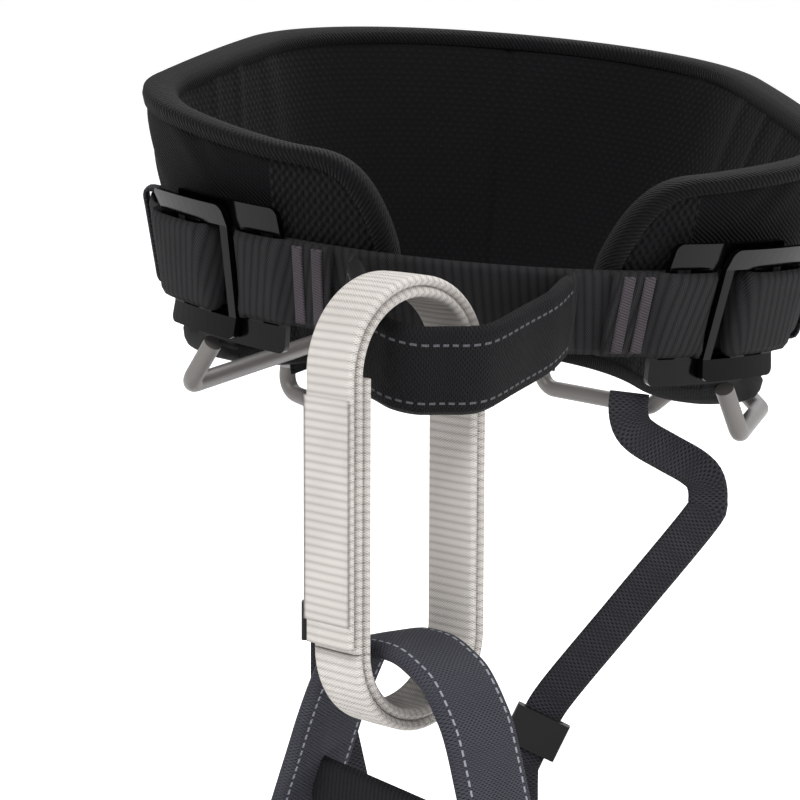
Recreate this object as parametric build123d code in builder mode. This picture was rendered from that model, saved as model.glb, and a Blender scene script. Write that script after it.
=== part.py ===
from build123d import *
import os
from math import acos, atan2, cos, degrees, hypot, radians, sin, tan

# Climbing harness in millimetres. +Z is up, +X the wearer's left and -Y the front.
# The origin is the middle of the waist opening, at mid height of the waist webbing.

# ---- waist belt seen from above ----
waist_front = 103.0         # origin to the belt line at the front
hip_centre_x = 44.0
hip_centre_y = -38.0
hip_radius = 44.0
back_centre_y = 20.0
back_radius = 70.0
belt_flare = 13.0           # the belt opens upwards like a cone, in degrees

# ---- layers of the waist pad, from the body outwards ----
lining_inside = -5.0        # lining's inner face from the belt line
lining_thickness = 1.5
foam_thickness = 6.0
shell_thickness = 1.5
binding_height = 4.0        # how far the edge tape covers the pad
binding_proud = 0.6         # the tape's own thickness beyond the pad's faces
pad_front_top = 38.0
pad_hip_top = 45.0
pad_back_top = 54.0
pad_front_bottom = -13.5
pad_hip_bottom = -34.0
pad_back_bottom = -49.0
nose_left = 33.0            # the pad's ends stop this far either side of the middle
nose_right = 20.0
nose_length = 30.0

# ---- webbing ----
webbing_width = 25.0
webbing_thickness = 2.0
layer_gap = 0.3             # play between pieces that move or slide
tack_thickness = 0.6        # bar tacks stand proud by their thread

# ---- waist buckles, one each side of the front ----
buckle_place = 67.0         # buckle's middle along the belt line from the front
buckle_length = 34.0
buckle_height = 42.0
buckle_plate = 2.2          # thickness of the bent steel plate
buckle_window = 26.6        # slot height for the webbing
frame_rail_rise = 1.6       # the frame's top and bottom rails are bent outwards this far
slider_rail_rise = 2.2
buckle_end_bar = 4.5
buckle_web_bar = 5.0
buckle_bar_offset = 7.0     # fixed webbing's bar from the buckle's middle
buckle_corner = 2.2
slider_length = 26.0
slider_height = 39.0
slider_front_bar = 2.5
slider_slot = 7.0
slider_travel = 4.0         # how far the plate slides to loosen the strap
fold_end = 36.0             # where the folded webbing ends, from the front
tail_length = 62.0          # free strap end beyond the buckle

# ---- upper tie-in loop ----
sleeve_width = 26.0
sleeve_wall = 1.2
loop_web_thickness = 2.4
loop_web_width = 25.0
tie_in_droop = 15.0         # the loop hangs nose-down, in degrees
tie_in_height = 1.4         # its middle at the belt
tie_in_reach = 44.0         # how far it stands out in front
tie_in_half_span = 32.0

# ---- belay loop ----
belay_x = -13.0
belay_ahead = 42.0          # its middle in front of the belt line
belay_z = -47.45             # middle of its straight limbs
belay_height = 121.0
belay_breadth = 52.0
belay_width = 18.0
belay_wrap = 2.9            # thickness of one wrap of webbing
belay_end = 34.0             # where the outer end of the webbing stops, below the middle
belay_turn = 42.0           # the loop hangs turned about the vertical, in degrees
belay_lean = 6.0            # and leans sideways

# ---- lower tie-in arch between the legs ----
arch_end_z = -154.0
cross_strap_height = 20.0
cross_strap_thickness = 2.0
cross_strap_z = -134.0

# ---- leg loops ----
leg_x = 72.0
leg_y = -45.0
leg_z = -230.0
leg_tilt = 10.0             # front edge higher than the back, in degrees
leg_radius = 58.0
leg_straight = 60.0
leg_pad_thickness = 8.0
leg_lining_thickness = 1.2
leg_shell_thickness = 1.4
leg_web_width = 20.0
leg_web_thickness = 1.8
leg_outer_height = 70.0
leg_inner_height = 40.0
leg_pad_start = 20.0        # the pad's ends along the loop, from its front
leg_pad_stop = 80.0
leg_bridge_place = -50.0    # where the bridge webbing meets the loop
bridge_lap = 4.0            # how far it lies down over the loop's webbing
leg_buckle_place = 45.0
leg_buckle_length = 24.0
leg_buckle_height = 32.0
leg_buckle_window = 21.2
leg_buckle_plate = 1.6
leg_rail_rise = 2.2
leg_end_bar = 3.0
leg_web_bar = 3.6
leg_bar_offset = 5.0
leg_slider_length = 17.5
leg_slider_height = 30.0
leg_front_bar = 2.2
leg_slot = 5.5
leg_slider_travel = 3.0
leg_fold_end = 20.0
leg_hook_place = 289.0      # where the riser hooks on at the back
leg_tail_length = 52.0

# ---- gear loops, haul loop and risers ----
gear_tube = 5.4
gear_clear = 9.0            # tube's middle from the belt line
gear_front_place = 78.0
right_gear_back_place = 205.0
left_gear_back_place = 268.0   # the left loop reaches further round the back
gear_front_z = -23.5
gear_back_z = -55.0
gear_bend = 6.0
gear_drop = 8.0             # the back ends come up to their tabs over this height
gear_tab_width = 12.0
tab_thickness = 1.6
haul_width = 12.0
haul_thickness = 2.0
haul_reach = 20.0
riser_foot_x = 27.0
riser_y = 50.0
riser_foot_y = 33.3         # both risers end at this distance behind the middle
riser_width = 13.0
riser_thickness = 1.5
riser_top = -55.0
riser_end = -206.5
riser_anchor_place = 218.0
adjuster_width = 19.0
adjuster_length = 13.0
adjuster_thickness = 4.6
hook_width = 16.0
hook_length = 6.2
hook_thickness = 3.2

# Offsets of the layers from the belt line.
lining_out = lining_inside + lining_thickness
foam_out = lining_out + foam_thickness
shell_out = foam_out + shell_thickness
web_out = shell_out + webbing_thickness
frame_in = web_out + layer_gap
frame_out = frame_in + buckle_plate
slider_in = frame_out + layer_gap
slider_out = slider_in + buckle_plate
half_web = webbing_width / 2


# ---- tracks: closed lines of arcs and straights, walked counter-clockwise ----
def arc_run(x, y, radius, start, end):
    return ("arc", radius * radians(end - start), x, y, radius, start)


def line_run(start, end):
    return ("line", hypot(end[0] - start[0], end[1] - start[1]), start, end)


def polar(x, y, radius, angle):
    return (x + radius * cos(radians(angle)), y + radius * sin(radians(angle)))


def belt_line():
    """Front arc, hip, straight side and back arc, and the same again mirrored."""
    ahead = hip_centre_y + waist_front
    front_radius = (hip_centre_x**2 + ahead**2 - hip_radius**2) / (2 * (ahead - hip_radius))
    front_centre = front_radius - waist_front
    turn = degrees(atan2(hip_centre_x, front_centre - hip_centre_y))
    rise = back_centre_y - hip_centre_y
    side = degrees(atan2(rise, -hip_centre_x))
    side -= degrees(acos((hip_radius - back_radius) / hypot(rise, hip_centre_x)))
    hip_end = polar(hip_centre_x, hip_centre_y, hip_radius, side)
    back_start = polar(0, back_centre_y, back_radius, side)
    return [
        arc_run(0, front_centre, front_radius, -90, turn - 90),
        arc_run(hip_centre_x, hip_centre_y, hip_radius, turn - 90, side),
        line_run(hip_end, back_start),
        arc_run(0, back_centre_y, back_radius, side, 180 - side),
        line_run((-back_start[0], back_start[1]), (-hip_end[0], hip_end[1])),
        arc_run(-hip_centre_x, hip_centre_y, hip_radius, 180 - side, 270 - turn),
        arc_run(0, front_centre, front_radius, 270 - turn, 270),
    ]


def leg_line():
    """A round-ended loop, walked from its front."""
    half = leg_straight / 2
    return [
        arc_run(0, -half, leg_radius, -90, 0),
        line_run((leg_radius, -half), (leg_radius, half)),
        arc_run(0, half, leg_radius, 0, 180),
        line_run((-leg_radius, half), (-leg_radius, -half)),
        arc_run(0, -half, leg_radius, 180, 270),
    ]


def track_length(track):
    return sum(run[1] for run in track)


def clipped(track, start, end):
    """The runs of a track between two places, with where each is entered and left."""
    total = track_length(track)
    for lap in (-total, 0):
        begin = lap
        for run in track:
            enter, leave = max(start, begin), min(end, begin + run[1])
            if leave - enter > 0.001:
                yield run, enter - begin, leave - begin
            begin += run[1]


def track_edges(track, start, end, offset):
    """Draws a stretch of a track, moved outwards, and gives its two ends."""
    edges = []
    for run, enter, leave in clipped(track, start, end):
        if run[0] == "arc":
            x, y, radius, angle = run[2:]
            first = angle + degrees(enter / radius)
            size = degrees((leave - enter) / radius)
            edges.append(CenterArc((x, y), radius + offset, first, size))
        else:
            (x0, y0), (x1, y1) = run[2:]
            dx, dy = (x1 - x0) / run[1], (y1 - y0) / run[1]
            sx, sy = x0 + dy * offset, y0 - dx * offset
            from_point = (sx + dx * enter, sy + dy * enter)
            edges.append(Line(from_point, (sx + dx * leave, sy + dy * leave)))
    return edges[0] @ 0, edges[-1] @ 1


def band(track, start, end, inner, outer, bottom, top, flare=0.0, base=Plane.XY):
    """A strip along a track between two offsets and two heights."""
    ends = []
    for height in (bottom, top):
        lean = height * tan(radians(flare))
        with BuildSketch(base.offset(height)) as outline:
            with BuildLine():
                in_start, in_end = track_edges(track, start, end, inner + lean)
                out_start, out_end = track_edges(track, start, end, outer + lean)
                Line(in_start, out_start)
                Line(in_end, out_end)
            make_face()
        ends.append(outline.sketch.face())
    loft(ends, ruled=True)


def track_place(track, place, offset):
    """Point on a track and its outward direction."""
    for run, enter, _ in clipped(track, place, place + 0.01):
        if run[0] == "arc":
            x, y, radius, angle = run[2:]
            angle += degrees(enter / radius)
            return polar(x, y, radius + offset, angle), (cos(radians(angle)), sin(radians(angle)))
        (x0, y0), (x1, y1) = run[2:]
        dx, dy = (x1 - x0) / run[1], (y1 - y0) / run[1]
        return (x0 + dx * enter + dy * offset, y0 + dy * enter - dx * offset), (dy, -dx)


belt = belt_line()
belt_length = track_length(belt)
leg = leg_line()
leg_length = track_length(leg)


def belt_point(place, offset, height):
    """A point on the flared belt."""
    (x, y), _ = track_place(belt, place, offset + height * tan(radians(belt_flare)))
    return Vector(x, y, height)


def belt_band(start, end, inner, outer, bottom, top):
    band(belt, start, end, inner, outer, bottom, top, belt_flare)


leg_plane = Plane(
    origin=(leg_x, leg_y, leg_z),
    x_dir=(1, 0, 0),
    z_dir=(0, sin(radians(leg_tilt)), cos(radians(leg_tilt))),
)


def leg_band(start, end, inner, outer, bottom, top):
    band(leg, start, end, inner, outer, bottom, top, 0.0, leg_plane)


def leg_local(place, offset, height=0.0):
    """A plane lying on the leg loop: x along it, y up, z outwards."""
    (x, y), (nx, ny) = track_place(leg, place, offset)
    to_world = leg_plane.location
    origin = (to_world * Location((x, y, height))).position
    outward = leg_plane.from_local_coords(Vector(nx, ny, 0)) - leg_plane.origin
    along = leg_plane.from_local_coords(Vector(-ny, nx, 0)) - leg_plane.origin
    return Plane(origin=origin, x_dir=along, z_dir=outward)


os.makedirs("parts", exist_ok=True)


def finish(name, piece):
    piece.part.label = name
    export_step(piece.part, "parts/" + name + ".step")


# ---- the waist pad's outline: a side view less a window at the front ----
far = 260.0
back_end = back_centre_y + back_radius + 40


def pad_outline(inset):
    """Keeps the pad between its top and bottom edges and cuts it back to its two noses."""
    with BuildSketch(Plane.YZ) as side_view:
        with BuildLine():
            upper = Spline(
                (-far, pad_front_top - inset), (-90, pad_front_top - inset),
                (hip_centre_y, pad_hip_top - inset), (back_end, pad_back_top - inset),
            )
            lower = Spline(
                (-far, pad_front_bottom + inset), (-86, pad_front_bottom + inset),
                (hip_centre_y, pad_hip_bottom + inset), (back_end, pad_back_bottom + inset),
            )
            Line(upper @ 0, lower @ 0)
            Line(upper @ 1, lower @ 1)
        make_face()
    extrude(side_view.sketch, amount=far, both=True)
    with BuildSketch(Plane.XZ.offset(20)) as window:
        with BuildLine():
            ends = []
            for side, nose in ((-1, nose_right), (1, nose_left)):
                tip = side * (nose + inset)
                rise = Spline(
                    (tip, 12 - inset), (tip + side * 3, 23 - inset), (tip + side * 10, 30 - inset),
                    (tip + side * nose_length, pad_front_top - 1 - inset),
                )
                Line((tip, -far), rise @ 0)
                Line(rise @ 1, (tip + side * nose_length * 1.6, far))
                ends.append((tip, tip + side * nose_length * 1.6))
            Line((ends[0][0], -far), (ends[1][0], -far))
            Line((ends[0][1], far), (ends[1][1], far))
        make_face()
    extrude(window.sketch, amount=far, mode=Mode.SUBTRACT)


with BuildPart() as pad_edge:
    pad_outline(0.0)
with BuildPart() as pad_core:
    pad_outline(binding_height)

pad_start = nose_left - 8
pad_end = belt_length - nose_right + 8
pad_low = pad_back_bottom - 4
pad_high = pad_back_top + 4

# ---- waist pad: mesh lining, foam, outer fabric and edge tape ----
with BuildPart() as waist_mesh_lining:
    belt_band(pad_start, pad_end, lining_inside, lining_out, pad_low, pad_high)
    add(pad_core.part, mode=Mode.INTERSECT)
finish("waist_mesh_lining", waist_mesh_lining)

with BuildPart() as waist_foam:
    belt_band(pad_start, pad_end, lining_out, foam_out, pad_low, pad_high)
    add(pad_core.part, mode=Mode.INTERSECT)
finish("waist_foam", waist_foam)

with BuildPart() as waist_outer_shell:
    belt_band(pad_start, pad_end, foam_out, shell_out, pad_low, pad_high)
    add(pad_core.part, mode=Mode.INTERSECT)
finish("waist_outer_shell", waist_outer_shell)

with BuildPart() as waist_binding:
    belt_band(pad_start, pad_end, lining_inside - binding_proud, shell_out, pad_low, pad_high)
    add(pad_edge.part, mode=Mode.INTERSECT)
    add(pad_core.part, mode=Mode.SUBTRACT)
finish("waist_binding", waist_binding)


# ---- waist webbing round the back, and the front piece folded through both buckles ----
def both_sides(start, end, inner, outer, bottom, top):
    """The same strip on the wearer's left and right."""
    belt_band(start, end, inner, outer, bottom, top)
    belt_band(belt_length - end, belt_length - start, inner, outer, bottom, top)


buckle_inner = buckle_place - buckle_length / 2
buckle_outer = buckle_place + buckle_length / 2
fixed_bar = buckle_place - buckle_bar_offset
fold_turn = fixed_bar + buckle_web_bar / 2 + layer_gap
slider_start = fold_turn + webbing_thickness + layer_gap
slider_end = slider_start + slider_length
strap_turn = slider_start + slider_front_bar + slider_slot - layer_gap - webbing_thickness
strap_drop = slider_end + slider_travel + layer_gap
strap_in = slider_out + layer_gap
strap_out = strap_in + webbing_thickness
tail_in = web_out + layer_gap
tail_out = tail_in + webbing_thickness
fold_out = slider_in + webbing_thickness

with BuildPart() as waist_webbing:
    belt_band(strap_turn, belt_length - strap_turn, shell_out, web_out, -half_web, half_web)
finish("waist_webbing", waist_webbing)

with BuildPart() as front_webbing:
    belt_band(-fold_turn, fold_turn, shell_out, web_out, -half_web, half_web)
    both_sides(fold_end, buckle_inner - 1, web_out, tail_out - layer_gap, -half_web, half_web)
    both_sides(buckle_inner - 2.5, buckle_inner - 0.5, web_out, fold_out, -half_web, half_web)
    both_sides(buckle_inner - 1, fold_turn + 1, slider_in, fold_out, -half_web, half_web)
    both_sides(fold_turn, fold_turn + webbing_thickness, shell_out, fold_out, -half_web, half_web)
finish("front_webbing", front_webbing)

tack_in = web_out + webbing_thickness
with BuildPart() as waist_bar_tacks:
    for tack in (fold_end + 2, fold_end + 7.5):
        both_sides(tack, tack + 3.5, tack_in, tack_in + tack_thickness, 2 - half_web, half_web - 2)
finish("waist_bar_tacks", waist_bar_tacks)


def mirrored(piece):
    with BuildPart() as other:
        mirror(piece.part, about=Plane.YZ)
    return other


with BuildPart() as left_strap_tail:
    belt_band(strap_turn, strap_turn + webbing_thickness, web_out, strap_out, -half_web, half_web)
    belt_band(strap_turn, strap_drop + webbing_thickness, strap_in, strap_out, -half_web, half_web)
    belt_band(strap_drop, strap_drop + webbing_thickness, tail_in, strap_out, -half_web, half_web)
    belt_band(strap_drop, buckle_outer + tail_length, tail_in, tail_out, -half_web, half_web)
finish("left_strap_tail", left_strap_tail)
finish("right_strap_tail", mirrored(left_strap_tail))


# ---- two-plate steel buckles: a frame on the fixed webbing and a plate that slides over it ----
def curved_plate(track, start, end, height, window, rise, inner, outer, bars, flare, base):
    """A plate that follows the webbing: bars between a top and a bottom rail bent outwards."""
    flat = window / 2
    slope = rise / (height / 2 - flat)
    upright = tan(radians(flare))
    low = inner - flat * slope
    with BuildPart() as plate:
        high = low + outer - inner
        upper_lean = degrees(atan2(upright + slope, 1))
        lower_lean = degrees(atan2(upright - slope, 1))
        band(track, start, end, low, high, flat, height / 2, upper_lean, base)
        band(track, start, end, low, high, -height / 2, -flat, lower_lean, base)
        for bar_start, bar_end in bars:
            band(track, bar_start, bar_end, inner, outer, -flat, flat, flare, base)
        corners = []
        for place in (start, end):
            (x, y), (nx, ny) = track_place(track, place, 0)
            for edge in plate.edges():
                middle = base.to_local_coords(edge.center())
                at_end = abs((middle.Y - y) * nx - (middle.X - x) * ny) < 0.3
                at_rim = abs(abs(middle.Z) - height / 2) < 0.2
                if at_end and at_rim and edge.length < 1.5 * (outer - inner):
                    corners.append(edge)
        fillet(corners, buckle_corner)
    return plate


frame_bars = [
    (buckle_inner, buckle_inner + buckle_end_bar / 2),
    (fixed_bar - buckle_web_bar / 2, fixed_bar + buckle_web_bar / 2),
    (buckle_outer - buckle_end_bar, buckle_outer),
]
slider_bar = slider_start + slider_front_bar + slider_slot
slider_bars = [
    (slider_start, slider_start + slider_front_bar),
    (slider_bar, slider_bar + buckle_web_bar),
    (slider_end - buckle_end_bar, slider_end),
]
left_buckle_frame = curved_plate(
    belt, buckle_inner, buckle_outer, buckle_height, buckle_window, frame_rail_rise, frame_in,
    frame_out, frame_bars, belt_flare, Plane.XY,
)
finish("left_buckle_frame", left_buckle_frame)
finish("right_buckle_frame", mirrored(left_buckle_frame))

left_buckle_slider = curved_plate(
    belt, slider_start, slider_end, slider_height, buckle_window, slider_rail_rise, slider_in,
    slider_out, slider_bars, belt_flare, Plane.XY,
)
finish("left_buckle_slider", left_buckle_slider)
finish("right_buckle_slider", mirrored(left_buckle_slider))


# ---- elastic keepers round the strap tails ----
keeper_place = 118.0
keeper_width = 9.0
keeper_wall = 1.2
with BuildPart() as left_strap_keeper:
    start, end = keeper_place - keeper_width / 2, keeper_place + keeper_width / 2
    inside, outside = shell_out - layer_gap, tail_out + layer_gap
    reach = half_web + layer_gap
    belt_band(start, end, outside, outside + keeper_wall, -reach - keeper_wall, reach + keeper_wall)
    for low in (-reach - keeper_wall, reach):
        belt_band(start, end, shell_out + layer_gap, outside, low, low + keeper_wall)
finish("left_strap_keeper", left_strap_keeper)
finish("right_strap_keeper", mirrored(left_strap_keeper))


# ---- upper tie-in loop: a webbing loop in a tough sleeve, hanging nose-down in front ----
def tilted(x, y, z, angle):
    """A level plane with its front edge dipped."""
    return Plane(
        origin=(x, y, z), x_dir=(1, 0, 0), z_dir=(0, -sin(radians(angle)), cos(radians(angle)))
    )


tie_plane = tilted(0, -waist_front, tie_in_height, tie_in_droop)
tie_in_route = [
    (tie_in_half_span - 4, -3.2), (tie_in_half_span - 10, -18), (6, -tie_in_reach + 1),
    (-14, -tie_in_reach - 3), (-25, -tie_in_reach + 6), (-29, -17), (-tie_in_half_span - 1, -3.0),
]
sleeve_route = [(25.6, -8)] + tie_in_route[1:-1] + [(-31.5, -8)]


def ribbon(plane, route, bend, thickness, width):
    """Webbing on edge along a route, as wide as given across the plane."""
    with BuildSketch(plane) as path:
        with BuildLine() as line:
            FilletPolyline(*route, radius=bend)
        trace(line.line, line_width=thickness)
    return path.sketch, width


def ribbon_solid(plane, route, bend, thickness, width, mode=Mode.ADD):
    shape, span = ribbon(plane, route, bend, thickness, width)
    extrude(shape, amount=span / 2, both=True, mode=mode)


with BuildPart() as tie_in_webbing:
    ribbon_solid(tie_plane, tie_in_route, 7.5, loop_web_thickness, loop_web_width)
finish("tie_in_webbing", tie_in_webbing)

sleeve_inside = loop_web_thickness + 0.02
sleeve_thickness = loop_web_thickness + 2 * sleeve_wall
with BuildPart() as tie_in_sleeve:
    ribbon_solid(tie_plane, sleeve_route, 7.5, sleeve_thickness, sleeve_width)
    ribbon_solid(tie_plane, tie_in_route, 7.5, sleeve_inside, loop_web_width + 0.04, Mode.SUBTRACT)
finish("tie_in_sleeve", tie_in_sleeve)

# ---- belay loop: webbing wound twice round and sewn where three layers lie in front ----
turn = radians(belay_turn)
lean = radians(belay_lean)
across = Vector(cos(turn), -sin(turn), 0)
inward = Vector(sin(turn), cos(turn), 0)
belay_plane = Plane(
    origin=(belay_x, -waist_front - belay_ahead, belay_z),
    x_dir=inward,
    z_dir=across * cos(lean) + Vector(0, 0, sin(lean)),
)
belay_straight = (belay_height - belay_breadth + belay_wrap) / 2
belay_radius = (belay_breadth - belay_wrap) / 2


def belay_round(radius, start):
    """One turn from the front limb over the top and back under it; each half turn draws in by half a wrap."""
    draw_in = belay_wrap / 4
    back = radius - 2 * draw_in
    with BuildSketch(belay_plane) as layer:
        with BuildLine() as line:
            Line((-radius, start), (-radius, belay_straight))
            CenterArc((-draw_in, belay_straight), radius - draw_in, 180, -180)
            Line((back, belay_straight), (back, -belay_straight))
            CenterArc((draw_in, -belay_straight), back - draw_in, 0, -180)
        trace(line.line, line_width=belay_wrap)
    extrude(layer.sketch, amount=belay_width / 2, both=True)


with BuildPart() as belay_outer_wrap:
    belay_round(belay_radius, -belay_end)
finish("belay_outer_wrap", belay_outer_wrap)

with BuildPart() as belay_middle_wrap:
    belay_round(belay_radius - belay_wrap, layer_gap - belay_straight)
finish("belay_middle_wrap", belay_middle_wrap)

with BuildPart() as belay_inner_wrap:
    with Locations(belay_plane * Location((2 * belay_wrap - belay_radius, 0, 0))):
        Box(belay_wrap, 2 * belay_straight, belay_width)
finish("belay_inner_wrap", belay_inner_wrap)

# ---- lower tie-in: a sleeved webbing arch through the belay loop, with a cross strap ----
arch_plane = Plane(
    origin=(belay_x, -waist_front - belay_ahead, 0), x_dir=across, z_dir=inward * -1
)
arch_route = [
    (-32, arch_end_z), (-20, -113), (-12, -91), (2, -84.5), (14, -83.5), (26, -88), (37, -102),
    (60, arch_end_z),
]
arch_bend = 10.0
with BuildPart() as lower_tie_in_webbing:
    ribbon_solid(arch_plane, arch_route, arch_bend, loop_web_thickness, loop_web_width)
finish("lower_tie_in_webbing", lower_tie_in_webbing)

arch_sleeve_route = [(-30.54, arch_end_z + 5)] + arch_route[1:-1] + [(57.8, arch_end_z + 5)]
with BuildPart() as lower_tie_in_sleeve:
    ribbon_solid(arch_plane, arch_sleeve_route, arch_bend, sleeve_thickness, sleeve_width)
    ribbon_solid(arch_plane, arch_route, arch_bend, sleeve_inside, loop_web_width + 0.04, Mode.SUBTRACT)
finish("lower_tie_in_sleeve", lower_tie_in_sleeve)


def level_with(first, last, height):
    """Where a straight run of the arch passes a height."""
    share = (height - first[1]) / (last[1] - first[1])
    return first[0] + share * (last[0] - first[0])


sleeve_half = loop_web_thickness / 2 + sleeve_wall
with BuildPart() as leg_cross_strap:
    with BuildSketch(arch_plane):
        with BuildLine():
            corners = []
            for height in (cross_strap_z + cross_strap_height / 2, cross_strap_z - cross_strap_height / 2):
                left = level_with(arch_route[0], arch_route[1], height) + 1.08 * sleeve_half + layer_gap
                right = level_with(arch_route[-1], arch_route[-2], height) - 1.1 * sleeve_half - layer_gap
                corners.append(((left, height), (right, height)))
            Polyline(corners[0][0], corners[0][1], corners[1][1], corners[1][0], close=True)
        make_face()
    extrude(amount=cross_strap_thickness / 2, both=True)
finish("leg_cross_strap", leg_cross_strap)

# ---- belay loop's stitching, proud of the three layers of its front limb ----
with BuildPart() as belay_stitching:
    with Locations(belay_plane * Location((-(belay_breadth + tack_thickness) / 2, 1, 0))):
        Box(tack_thickness, 2 * belay_end - 8, belay_width - 6)
finish("belay_stitching", belay_stitching)


# ---- bridges: webbing from the arch's ends down to the two leg loops ----
def strap_between(start, end, ease, first_size, last_size):
    """Webbing that eases from one plane to another, turning as it goes."""
    sections = []
    steps = 5
    for step in range(steps + 1):
        t = step / steps
        rest = 1 - t
        spot = start.origin * (rest * rest * (1 + 2 * t)) + end.origin * (t * t * (3 - 2 * t))
        spot += start.z_dir * (ease * t * rest * rest) - end.z_dir * (ease * t * t * rest)
        travel = (end.origin - start.origin) * (6 * t * rest)
        travel += start.z_dir * (ease * rest * (1 - 3 * t)) + end.z_dir * (ease * t * (3 * t - 2))
        travel = travel.normalized()
        wide = start.x_dir * (rest * rest) + end.x_dir * (1 - rest * rest)
        wide = (wide - travel * wide.dot(travel)).normalized()
        size = [a * rest + b * t for a, b in zip(first_size, last_size)]
        with BuildSketch(Plane(origin=spot, x_dir=wide, z_dir=travel)) as section:
            Rectangle(*size)
        sections.append(section.sketch.face())
    loft(sections)


def arch_end_plane(end, before):
    """Just below an end of the arch, facing the way the webbing runs."""
    length = hypot(end[0] - before[0], end[1] - before[1])
    run = (across * (end[0] - before[0]) + Vector(0, 0, end[1] - before[1])) * (1 / length)
    tip = arch_plane.origin + across * end[0] + Vector(0, 0, end[1]) + run * 0.02
    return Plane(origin=tip, x_dir=inward, z_dir=run)


leg_shell_out = leg_pad_thickness / 2
leg_lining_in = -leg_shell_out
leg_web_out = leg_shell_out + leg_web_thickness
half_leg_web = leg_web_width / 2
bridge_offset = leg_web_out + 4.5 * layer_gap + leg_web_thickness / 2
leg_seat = leg_local(leg_bridge_place, bridge_offset, half_leg_web - bridge_lap)
bridge_sizes = ((loop_web_width, loop_web_thickness), (leg_web_width, leg_web_thickness))
with BuildPart() as left_bridge:
    arrive = Plane(origin=leg_seat.origin, x_dir=leg_seat.x_dir, z_dir=leg_plane.z_dir * -1)
    strap_between(arch_end_plane(arch_route[-1], arch_route[-2]), arrive, 60.0, *bridge_sizes)
finish("left_bridge", left_bridge)

with BuildPart() as right_bridge:
    other_side = Vector(-leg_seat.origin.X, leg_seat.origin.Y, leg_seat.origin.Z)
    along = Vector(leg_seat.x_dir.X, -leg_seat.x_dir.Y, -leg_seat.x_dir.Z)
    arrive = Plane(origin=other_side, x_dir=along, z_dir=leg_plane.z_dir * -1)
    strap_between(arch_end_plane(arch_route[0], arch_route[1]), arrive, 34.0, *bridge_sizes)
finish("right_bridge", right_bridge)


# ---- leg loops: a padded band, webbing round it, and a small buckle in front ----
leg_side = Plane(origin=leg_plane.origin, x_dir=leg_plane.x_dir, z_dir=leg_plane.y_dir * -1)


def leg_pad(inner, outer, inset):
    """A layer of the pad, tall on the outer side and low on the inner side."""
    band(leg, leg_pad_start + inset, leg_length - leg_pad_stop - inset, inner, outer,
         -leg_outer_height, leg_outer_height, 0.0, leg_plane)
    far_side = leg_radius + 12
    middle = (leg_outer_height + leg_inner_height) / 4 + 2.5 - inset
    low, high = leg_inner_height / 2 - inset, leg_outer_height / 2 + 1 - inset
    with BuildSketch(leg_side) as outline:
        with BuildLine():
            Polyline((-far_side, low), (0, middle), (far_side, high), (far_side, -high),
                     (0, -middle), (-far_side, -low), close=True)
        make_face()
    extrude(outline.sketch, amount=2 * far_side, both=True, mode=Mode.INTERSECT)


def both_legs(name, piece):
    finish("left_leg_" + name, piece)
    finish("right_leg_" + name, mirrored(piece))


with BuildPart() as leg_lining:
    leg_pad(leg_lining_in, leg_lining_in + leg_lining_thickness, binding_height)
both_legs("lining", leg_lining)

with BuildPart() as leg_foam:
    leg_pad(leg_lining_in + leg_lining_thickness, leg_shell_out - leg_shell_thickness, binding_height)
both_legs("foam", leg_foam)

with BuildPart() as leg_shell:
    leg_pad(leg_shell_out - leg_shell_thickness, leg_shell_out, binding_height)
both_legs("shell", leg_shell)

with BuildPart() as leg_core:
    leg_pad(leg_lining_in - 2, leg_shell_out + 2, binding_height)
with BuildPart() as leg_binding:
    leg_pad(leg_lining_in - binding_proud, leg_shell_out, 0.0)
    add(leg_core.part, mode=Mode.SUBTRACT)
both_legs("binding", leg_binding)

leg_frame_in = leg_web_out + layer_gap
leg_frame_out = leg_frame_in + leg_buckle_plate
leg_slider_in = leg_frame_out + layer_gap
leg_slider_out = leg_slider_in + leg_buckle_plate
leg_buckle_start = leg_buckle_place - leg_buckle_length / 2
leg_buckle_end = leg_buckle_place + leg_buckle_length / 2
leg_fixed_bar = leg_buckle_place - leg_bar_offset
leg_fold_turn = leg_fixed_bar + leg_web_bar / 2 + layer_gap
leg_slider_start = leg_fold_turn + leg_web_thickness + layer_gap
leg_slider_end = leg_slider_start + leg_slider_length
leg_strap_turn = leg_slider_start + leg_front_bar + leg_slot - layer_gap - leg_web_thickness
leg_strap_drop = leg_slider_end + leg_slider_travel + layer_gap
leg_strap_in = leg_slider_out + layer_gap
leg_strap_out = leg_strap_in + leg_web_thickness
leg_tail_in = leg_web_out + layer_gap
leg_tail_out = leg_tail_in + leg_web_thickness
leg_fold_out = leg_slider_in + leg_web_thickness


def leg_strip(start, end, inner, outer):
    leg_band(start, end, inner, outer, -half_leg_web, half_leg_web)


with BuildPart() as leg_webbing:
    leg_strip(leg_strap_turn - leg_length, leg_fold_turn, leg_shell_out, leg_web_out)
    leg_strip(leg_fold_end, leg_buckle_start - 1, leg_web_out, leg_tail_out - layer_gap)
    leg_strip(leg_buckle_start - 2.3, leg_buckle_start - 0.5, leg_web_out, leg_fold_out)
    leg_strip(leg_buckle_start - 1, leg_fold_turn + 1, leg_slider_in, leg_fold_out)
    leg_strip(leg_fold_turn, leg_fold_turn + leg_web_thickness, leg_shell_out, leg_fold_out)
both_legs("webbing", leg_webbing)

with BuildPart() as leg_tail:
    leg_strip(leg_strap_turn, leg_strap_turn + leg_web_thickness, leg_web_out, leg_strap_out)
    leg_strip(leg_strap_turn, leg_strap_drop + leg_web_thickness, leg_strap_in, leg_strap_out)
    leg_strip(leg_strap_drop, leg_strap_drop + leg_web_thickness, leg_tail_in, leg_strap_out)
    leg_strip(leg_strap_drop, leg_buckle_end + leg_tail_length, leg_tail_in, leg_tail_out)
both_legs("tail", leg_tail)

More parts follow.
